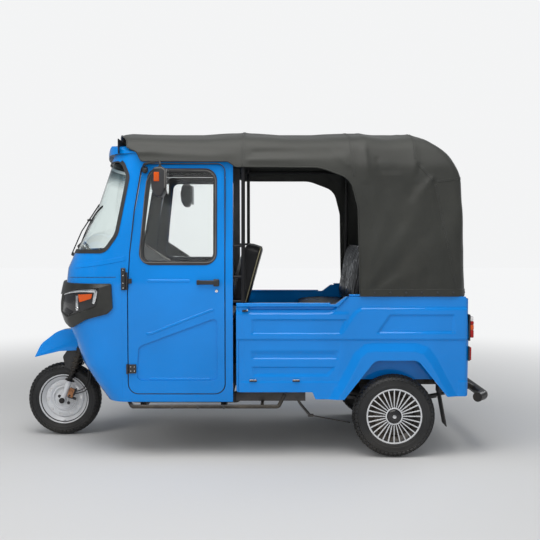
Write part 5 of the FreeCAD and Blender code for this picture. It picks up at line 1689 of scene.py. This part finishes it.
def makeLampRings():
    # two ringed reflectors behind each front lens
    tree = treeOf("headlamps", "nose_mask")
    rings = bmesh.new()
    radius = ringRows["radius"]
    for y in ringRows["places"]:
        spot, normal = tree.ray_cast(Vector((-2.0, y, ringRows["height"])), Vector((1, 0, 0)))[:2]
        place = facing(spot + normal * 0.001, normal)
        addTube(rings, circlePoints(place, radius, 40), 0.0035, sides=8, closed=True)
        addTube(rings, circlePoints(place, radius * ringRows["innerShare"], 32), 0.0022, sides=8,
                closed=True)
        addRound(rings, spot - normal * 0.002, spot + normal * 0.004, radius * 0.30, radius * 0.16,
                 sides=24)
    finishPiece("lampRings", rings, "body", lampSilver, "lamp_lens", paired=True)


def makeMask():
    tree = treeOf("cab_nose", "cab_frame")
    facets = bmesh.new()
    for low, high in maskRows.values():
        layPatch(facets, tree, low, high, maskReach, rows=4)
    bmesh.ops.remove_doubles(facets, verts=facets.verts, dist=0.0003)
    finishPiece("maskFacets", facets, "body", maskBlack, "black_plastic", sharpAngle=12, paired=True)
    window = bmesh.new()
    layPatch(window, tree, *maskWindow, maskReach, rows=10)
    layPatch(window, tree, *maskLedge, maskReach, rows=3)
    finishPiece("maskWindow", window, "body", plasticGloss, "black_plastic", paired=True)
    makeLampStrips(tree)
    amber = bmesh.new()
    layPatch(amber, tree, *amberOutline, maskReach, rows=5)
    pullRim(amber, lambda y: y + 0.006)
    lens = finishPiece("turnLenses", amber, "body", lensAmber, "amber_lens", sharpAngle=30, paired=True)
    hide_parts("indicator_lamps")
    makeLampRings()
    # shut line of the nose panel as a black ribbon, painted shade of the gap, and the pressed crease above
    # it
    seam, crease = bmesh.new(), bmesh.new()
    addRibbon(seam, *layLine(tree, shutLine, spacing=0.012), 0.0040, 0.0003)
    finishPiece("noseSeam", seam, "body", plasticGloss, "black_plastic", paired=True)
    addRibbon(crease, *layLine(tree, creaseLine, spacing=0.012, lift=0.0002), 0.030, 0.0022)
    finishPiece("noseCrease", crease, "body", paintBlue, "blue_paint", sharpAngle=60, paired=True)


makeMask()
print("mask made")

# door fittings: mirror on its bent arm, handle, lock, hinges and window beads, the beads light grey as a
# painted highlight
mirrorOutline = [(-0.553, 1.700, 0.030), (-0.546, 1.640, 0.030), (-0.522, 1.600, 0.020),
                 (-0.488, 1.598, 0.020), (-0.464, 1.650, 0.040),
                 (-0.461, 1.760, 0.018), (-0.486, 1.775, 0.016), (-0.538, 1.772, 0.024)]
windowBead = [(-0.648, 1.207, 0.045), (-0.190, 1.207, 0.055), (-0.190, 1.772, 0.070),
              (-0.578, 1.778, 0.070), (-0.617, 1.700, 0.10),
              (-0.652, 1.300, 0.10)]

doorBeads = [
    # raised beads pressed into the door skin, (x, z)
    [(-0.614, 1.0948), (-0.345, 1.0948)],
    [(-0.618, 0.7690), (-0.586, 0.7700), (-0.400, 0.8440), (-0.232, 0.9080), (-0.200, 0.9180)],
    [(-0.604, 0.4860), (-0.222, 0.4840)],
]


def onSide(bm, side):
    # left-hand parts turned into right-hand ones where asked
    if side == "right":
        bmesh.ops.scale(bm, vec=(1, -1, 1), verts=bm.verts)
        bmesh.ops.reverse_faces(bm, faces=bm.faces[:])
    return bm


mirrorShape = {"outside": -0.822, "deep": 0.124, "bevel": 0.016, "middle": (-0.760, 1.690),
               "glassX": -0.4602, "glass": (0.100, 0.132, 0.022),
               "rimX": -0.4610, "rim": (0.108, 0.140, 0.024)}
mirrorArm = [(-0.622, -0.578, 1.775), (-0.622, -0.612, 1.806), (-0.572, -0.660, 1.812),
             (-0.520, -0.715, 1.812), (-0.505, -0.755, 1.800),
             (-0.504, -0.760, 1.765)]
# a line along the mirror housing's outer edge, drawn light grey as a painted highlight band
mirrorEdge = [(-0.470, 1.650, 0.02), (-0.468, 1.752, 0.014), (-0.488, 1.766, 0)]
cornerPlate = [(-0.640, 1.218, 0.03), (-0.472, 1.216, 0), (-0.637, 1.326, 0)]
doorRounds = [
    # start, end, radius, radius at the end, sides, bevel: the arm's two sockets, two hinge pins
    ((-0.622, -0.556, 1.786), (-0.622, -0.575, 1.780), 0.015, None, 24, 0.002),
    ((-0.504, -0.760, 1.768), (-0.504, -0.760, 1.784), 0.011, None, 20, 0.002),
    ((-0.733, -0.612, 1.040), (-0.733, -0.612, 1.148), 0.0065, None, 16, 0.001),
    ((-0.733, -0.612, 0.522), (-0.733, -0.612, 0.583), 0.0065, None, 16, 0.001),
]
doorBlocks = [
    # centre, size, bevel, segments: pull handle with its two feet, lower and upper hinge leaf
    ((-0.240, -0.6185, 1.086), (0.112, 0.012, 0.026), 0.005, 3),
              ((-0.184, -0.6115, 1.084), (0.036, 0.022, 0.044), 0.007, 3),
    ((-0.294, -0.6100, 1.086), (0.022, 0.019, 0.030), 0.006, 3),
              ((-0.703, -0.6035, 0.5525), (0.048, 0.012, 0.056), 0.004, 2),
    ((-0.716, -0.6065, 1.094), (0.026, 0.005, 0.030), 0.002, 2),
]
lockRounds = [
    ((-0.1838, -0.599, 1.033), (-0.1838, -0.6035, 1.033), 0.0105, 0.0095, 28, 0.0008),
              ((-0.1838, -0.603, 1.033), (-0.1838, -0.6050, 1.033), 0.0065, None, 24),
]
beadShape = {"radius": 0.0140, "sunk": 0.0105, "endSunk": 0.004}


def makeDoorFittings(side):
    def doorPiece(name, bm, material, slotName, sharpAngle=35):
        return finishPiece(name + "_" + side, onSide(bm, side), "door_" + side, material, slotName,
                           sharpAngle)

    shape = mirrorShape
    y, z = shape["middle"]
    black = bmesh.new()
    shell = bmesh.new()
    addPrism(shell, roundedPath(mirrorOutline), acrossVehicle(shape["outside"]),
             Vector((0, shape["deep"], 0)))
    rims = [edge for edge in shell.edges if abs(edge.verts[0].co.y - edge.verts[1].co.y) < 0.001]
    bevelEdges(shell, rims, shape["bevel"], 5)
    joinInto(black, shell)
    addTube(black, smoothLine(mirrorArm), 0.006, sides=12)
    addBall(black, (-0.622, -0.580, 1.772), 0.019, 24, 14)
    addAll(black, addRound, doorRounds)
    addAll(black, addBlock, doorBlocks)
    plate = bmesh.new()
    addPrism(plate, roundedPath(cornerPlate), acrossVehicle(-0.574), Vector((0, 0.004, 0)))
    joinInto(black, plate)
    fittings = doorPiece("doorFittings", black, plasticBlack, "black_plastic", 32)
    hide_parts("door_" + side + "_fittings")
    silver = bmesh.new()
    addPrism(silver, roundedBox(*shape["glass"]),
             lambda point: Vector((shape["glassX"], y + point.x, z + point.y)), Vector((0.0016, 0, 0)))
    doorPiece("mirrorGlass", silver, mirrorSilver, "clear_glass")
    # raised beads in a light grey that is a painted highlight: mirror rim, the line on the housing's outer
    # edge, window bead and quarter-window bar
    pale = bmesh.new()
    rim = [(shape["rimX"], y + point.x, z + point.y) for point in roundedBox(*shape["rim"])]
    addTube(pale, rim, 0.0034, sides=8, closed=True)
    addTube(pale, map(acrossVehicle(-0.8195), roundedPath(mirrorEdge, closed=False)), 0.0030, sides=8)
    path = [tuple(point) for point in roundedPath(windowBead)]
    spots = layLine(treeOf("door_left_seal"), path + [path[0]], spacing=0.012, lift=0.0010)[0]
    addTube(pale, spots[:-1], 0.0032, sides=8, closed=True)
    addTube(pale, [(-0.637, -0.5785, 1.329), (-0.470, -0.5765, 1.219)], 0.0035, sides=8)
    doorPiece("doorBeads", pale, paintedHighlightGrey, "seal_rubber", 60)
    amber = bmesh.new()
    addBlock(amber, (-0.5165, -0.8215, 1.715), (0.032, 0.010, 0.054), bevel=0.004, segments=2)
    doorPiece("mirrorLens", amber, lensAmber, "amber_lens")
    bright = bmesh.new()
    addAll(bright, addRound, lockRounds)
    for x in (-0.712, -0.690):
        for level in (0.566, 0.540):
            addRound(bright, (x, -0.6095, level), (x, -0.6115, level), 0.0038, 0.0028, sides=12)
    doorPiece("doorBright", bright, chrome, "dark_steel")
    beads = bmesh.new()
    skin = treeOf("door_left_shell")
    for row in doorBeads:
        laid = list(zip(*layLine(skin, row, spacing=0.012)))
        ends = (0, len(laid) - 1)
        sunk = [spot - way * (beadShape["sunk"] + beadShape["endSunk"] * (k in ends)) for k,
                (spot, way) in enumerate(laid)]
        addTube(beads, sunk, beadShape["radius"], sides=20)
    doorPiece("doorBeadPress", beads, paintBlue, "blue_paint", 70)
    slot = bmesh.new()
    addBlock(slot, (-0.1838, -0.6052, 1.033), (0.0016, 0.0010, 0.008))
    doorPiece("keySlot", slot, plasticGloss, "black_plastic")


for side in bothSides:
    makeDoorFittings(side)
# rubber in the door gap and the hinge strip with its screws
gapLine = [(-0.730, 0.395, 0.063), (-0.730, 1.020, 0), (-0.716, 1.270, 0), (-0.689, 1.520, 0),
           (-0.638, 1.813, 0.048), (-0.132, 1.813, 0.048),
           (-0.132, 0.395, 0.063)]
strips = bmesh.new()
screws = bmesh.new()
for deep in (-0.588, -0.574):
    addTube(strips, map(acrossVehicle(deep), roundedPath(gapLine)), 0.0025, sides=8, closed=True)
addBlock(strips, (-0.755, -0.6055, 1.106), (0.028, 0.012, 0.136), bevel=0.0055, segments=3)
for z in (1.160, 1.128, 1.082, 1.052):
    addRound(screws, (-0.755, -0.6105, z), (-0.755, -0.6130, z), 0.0042, 0.0030, sides=14)
finishPiece("hingeStrips", strips, "body", plasticBlack, "black_plastic", paired=True)
finishPiece("hingeScrews", screws, "body", chrome, "dark_steel", paired=True)
print("door fittings made")


# tail lamps in three colours, wiper blade, wheel shield and small fittings
tailLamp = {"face": 1.3735, "y": -0.594, "wide": 0.035, "deep": 0.022, "milkDeep": 0.019}
tailRows = [
    # low, high, colour
    (0.746, 0.7925, "red"), (0.7935, 0.8255, "amber"), (0.8265, 0.8470, "red"), (0.8480, 0.8765, "milk"),
]
tailBacks = [((1.3690, -0.594, 0.808), (0.010, 0.042, 0.162), 0.003),
             ((1.3680, -0.596, 0.6475), (0.008, 0.036, 0.090), 0.003)]
tailFinish = {"red": (lensRed, "red_lens"), "amber": (lensAmber, "amber_lens"),
              "milk": (lensMilk, "lamp_lens")}


def makeTailLamps():
    lamp = tailLamp
    lenses = {colour: bmesh.new() for colour in tailFinish}
    back = bmesh.new()
    addAll(back, addBlock, tailBacks)
    for low, high, colour in tailRows:
        deep = lamp["milkDeep"] if colour == "milk" else lamp["deep"]
        size = (deep, lamp["wide"], high - low)
        addBlock(lenses[colour], (lamp["face"] + deep / 2, lamp["y"], (low + high) / 2), size, bevel=0.0045,
                 segments=3)
    addBlock(lenses["red"], (1.3765, -0.596, 0.6475), (0.011, 0.030, 0.080), bevel=0.004, segments=3)
    finishPiece("tailBacks", back, "body", plasticBlack, "black_plastic", paired=True)
    for colour, bm in lenses.items():
        finishPiece("tailLens_" + colour, bm, "body", *tailFinish[colour], paired=True)
    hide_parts("tail_lamps")


wiperShape = {"elbow": (-1.089, -0.260, 1.402), "tip": (-0.923, -0.488, 1.566), "from": -0.35, "steps": 24,
              "carrier": 14}


def makeWiper():
    # a blade laid on the windscreen, with its carrier
    shape = wiperShape
    glass = treeOf("windscreen")
    wiper = bmesh.new()
    elbow, tip = Vector(shape["elbow"]), Vector(shape["tip"])
    blade, ways = [], []
    for k in range(shape["steps"] + 1):
        share = shape["from"] + (1 - shape["from"]) * k / shape["steps"]
        spot, way = glass.find_nearest(elbow.lerp(tip, share))[:2]
        way = way if way.x < 0 else -way
        blade.append(spot + way * 0.0045)
        ways.append(way)
    addRibbon(wiper, blade, ways, 0.012, 0.0060, lift=-0.002)
    middle = blade[shape["carrier"]] + ways[shape["carrier"]] * 0.010
    addBlock(wiper, middle, (0.030, 0.018, 0.014), bevel=0.003)
    finishPiece("wiperBlade", wiper, "body", plasticBlack, "seal_rubber")


shieldOutline = [(-1.277, 0.545, 0.02), (-1.240, 0.600, 0.02), (-1.165, 0.600, 0.02), (-1.154, 0.560, 0.02),
                 (-1.175, 0.474, 0.02),
                 (-1.215, 0.446, 0.02), (-1.262, 0.474, 0.02)]


def makeShield():
    shield = bmesh.new()
    addPrism(shield, roundedPath(shieldOutline), acrossVehicle(-0.0530), Vector((0, 0.0030, 0)))
    finishPiece("wheelShield", shield, "steering", plasticBlack, "black_plastic", paired=True)


brakeRod = [(0.310, -0.447, 0.350), (0.340, -0.447, 0.300), (0.396, -0.447, 0.233)]
railBolts = [(-0.62, 0.325), (-0.46, 0.315), (-0.30, 0.315), (-0.14, 0.315), (0.30, 0.435), (0.46, 0.435),
             (0.62, 0.435), (1.20, 0.435)]


def makeUnderbody():
    # brake rod with its clevis and arm, a dark panel behind it, and bolts along the rails
    rods = bmesh.new()
    addRound(rods, (0.395, -0.447, 0.231), (0.654, -0.447, 0.182), 0.0042, sides=12)
    addBlock(rods, (0.404, -0.447, 0.229), (0.036, 0.014, 0.018), bevel=0.003)
    addTube(rods, brakeRod, 0.0085, sides=12)
    addBlock(rods, (0.150, -0.452, 0.366), (0.440, 0.004, 0.086), bevel=0.001)
    tree = treeOf("chassis_frame")
    for x, z in railBolts:
        spot, way = layPoint(tree, x, z)
        if way.y < -0.8:
            bolt(rods, spot, way, 0.0065, 0.006)
    finishPiece("chassisBolts", rods, "body", steelDark, "dark_steel", paired=True)


gripShape = {"inner": (-0.884, -0.270, 1.177), "outer": (-0.861, -0.332, 1.166), "reach": -0.9,
             "radius": 0.0165, "endRadius": 0.0175,
             "ribs": 9, "ribRadius": 0.0185}


def makeGrips():
    shape = gripShape
    grips, levers = bmesh.new(), bmesh.new()
    outer = Vector(shape["outer"])
    far = Vector(shape["inner"]).lerp(outer, shape["reach"])
    addRound(grips, far, outer, shape["radius"], shape["endRadius"], sides=28, bevel=0.002)
    for k in range(shape["ribs"]):
        spot = far.lerp(outer, 0.08 + 0.1 * k)
        addRound(grips, spot, spot.lerp(outer, 0.03), shape["ribRadius"], sides=28)
    lever = [far + Vector((0.0, 0.006, -0.014)), far + Vector((0.004, 0.0, -0.025)),
             outer + Vector((0.004, 0, -0.026)),
             outer + Vector((0.003, -0.008, -0.022))]
    addTube(levers, smoothLine(lever), 0.0040, sides=10)
    finishPiece("barGrips", grips, "steering", rubberSeal, "seal_rubber", paired=True)
    finishPiece("barLevers", levers, "steering", steelBright, "dark_steel", paired=True)


gaugeShape = {"centre": (-1.125, 0.0, 1.285), "face": (0.82, 0, 0.57), "radius": 0.056, "backRadius": 0.050,
              "ring": 0.052}


def makeGauge():
    shape = gaugeShape
    face, centre = Vector(shape["face"]).normalized(), Vector(shape["centre"])
    gauge = bmesh.new()
    addRound(gauge, centre - face * 0.035, centre + face * 0.012, shape["backRadius"], shape["radius"],
             sides=48, bevel=0.003)
    finishPiece("gaugeCup", gauge, "body", plasticBlack, "black_plastic")
    ring = bmesh.new()
    turn = facing(centre + face * 0.013, face)
    addTube(ring, circlePoints(turn, shape["ring"], 48), 0.0035, sides=8, closed=True)
    addRound(ring, turn @ Vector((-0.006, -0.004, 0.001)), turn @ Vector((0.034, 0.020, 0.001)), 0.0012,
             0.0006, sides=8)
    finishPiece("gaugeRing", ring, "body", chrome, "dark_steel")


bowPanel = {"x": -0.795, "half": 0.54, "steps": 40, "low": 1.88, "startZ": 1.90, "top": 2.04,
            "openTop": 1.97, "gap": 0.007, "thick": 0.004}


def makeFrontPanel():
    # closes the space under the front bow of the canopy
    shape = bowPanel
    tree = treeOf("canopy")
    panel = bmesh.new()
    grid = []
    for k in range(shape["steps"] + 1):
        y = -shape["half"] + 2 * shape["half"] * k / shape["steps"]
        hit = tree.ray_cast(Vector((shape["x"], y, shape["startZ"])), Vector((0, 0, 1)))[0]
        top = min(shape["top"], hit.z - shape["gap"]) if hit else shape["openTop"]
        grid.append([panel.verts.new((shape["x"], y, z)) for z in (shape["low"], top)])
    faceGrid(panel, grid)
    bmesh.ops.recalc_face_normals(panel, faces=panel.faces)
    bmesh.ops.solidify(panel, geom=panel.faces[:], thickness=shape["thick"])
    finishPiece("frontBowPanel", panel, "body", plasticBlack, "black_plastic")


makeTailLamps()
makeWiper()
makeShield()
makeUnderbody()
makeGrips()
makeGauge()
makeFrontPanel()
print("lamps and small fittings made")

# floor, light and camera
studio = {"floorSize": 60, "floorColour": (0.56, 0.56, 0.56), "worldStrength": 0.30,
          "skyColour": (0.90, 0.95, 1.0), "backdrop": (0.90, 0.905, 0.91),
          "fadeFrom": 2.0, "fadeTo": 6.5}
cameraSpot = {"place": (0.1445, -5.377, 1.358), "pitchDown": 2.35, "lens": 52.0, "sensor": 36.0}
lamps = [
    # name, place, size, power, colour, seen in reflections
    ("overheadBox", (-0.4, -1.9, 5.2), (5.0, 4.0), 270, (1.0, 0.985, 0.96), True),
    ("frontBox", (-4.6, -3.8, 3.0), (2.6, 3.2), 80, (1.0, 0.98, 0.95), False),
    ("rearBox", (4.4, 2.2, 3.2), (2.5, 2.5), 70, (0.95, 0.97, 1.0), True),
    ("sideFill", (0.4, -8.5, 2.4), (7.0, 2.6), 165, (1.0, 1.0, 1.0), False),
]


def addStage():
    bm = bmesh.new()
    bmesh.ops.create_grid(bm, x_segments=1, y_segments=1, size=studio["floorSize"] / 2)
    floor = objectOf("floor", bm)
    # the far floor melts into the backdrop
    material, tree, bsdf = startMaterial("paleFloor", roughness=0.85, specular=0.15)
    reach = addNode(tree, "ShaderNodeVectorMath", {0: objectPoint(tree)},
                    operation="LENGTH").outputs["Value"]
    far = addNode(tree, "ShaderNodeMapRange", {0: reach, 1: studio["fadeFrom"], 2: studio["fadeTo"]},
                  interpolation_type="SMOOTHSTEP").outputs[0]
    tree.links.new(mixColour(tree, far, (*studio["floorColour"], 1), (0, 0, 0, 1)),
                   bsdf.inputs["Base Color"])
    tree.links.new(mixColour(tree, far, (0, 0, 0, 1), (*studio["backdrop"], 1)),
                   bsdf.inputs["Emission Color"])
    bsdf.inputs["Emission Strength"].default_value = 1.0
    floor.data.materials.append(material)
    world = bpy.data.worlds.new("studio")
    bpy.context.scene.world = world
    world.use_nodes = True
    tree = world.node_tree
    glow = tree.nodes["Background"]
    glow.inputs[0].default_value = (*studio["skyColour"], 1)
    glow.inputs[1].default_value = studio["worldStrength"]
    back = addNode(tree, "ShaderNodeBackground", {0: (*studio["backdrop"], 1), 1: 1.0})
    path = tree.nodes.new("ShaderNodeLightPath")
    direct = calc(tree, "MAXIMUM", path.outputs["Is Camera Ray"], path.outputs["Is Transmission Ray"])
    seen = addNode(tree, "ShaderNodeMixShader", {0: direct, 1: glow.outputs[0], 2: back.outputs[0]})
    tree.links.new(seen.outputs[0], tree.nodes["World Output"].inputs[0])


def addLamps():
    aim = Vector((0, 0, 0.9))
    for name, place, size, power, colour, mirrored in lamps:
        light = bpy.data.lights.new(name, "AREA")
        light.shape = "RECTANGLE"
        light.size, light.size_y = size
        light.energy = power
        light.color = colour
        lamp = bpy.data.objects.new(name, light)
        lamp.visible_glossy = mirrored
        bpy.context.scene.collection.objects.link(lamp)
        lamp.location = place
        lamp.rotation_euler = (aim - Vector(place)).to_track_quat("-Z", "Y").to_euler()


def addCamera():
    lens = bpy.data.cameras.new("camera")
    lens.lens = cameraSpot["lens"]
    lens.sensor_width = cameraSpot["sensor"]
    camera = bpy.data.objects.new("camera", lens)
    bpy.context.scene.collection.objects.link(camera)
    camera.location = cameraSpot["place"]
    camera.rotation_euler = (math.radians(90 - cameraSpot["pitchDown"]), 0, 0)
    bpy.context.scene.camera = camera


addStage()
addLamps()
addCamera()
bpy.context.scene.view_settings.view_transform = "Standard"
print("studio ready")
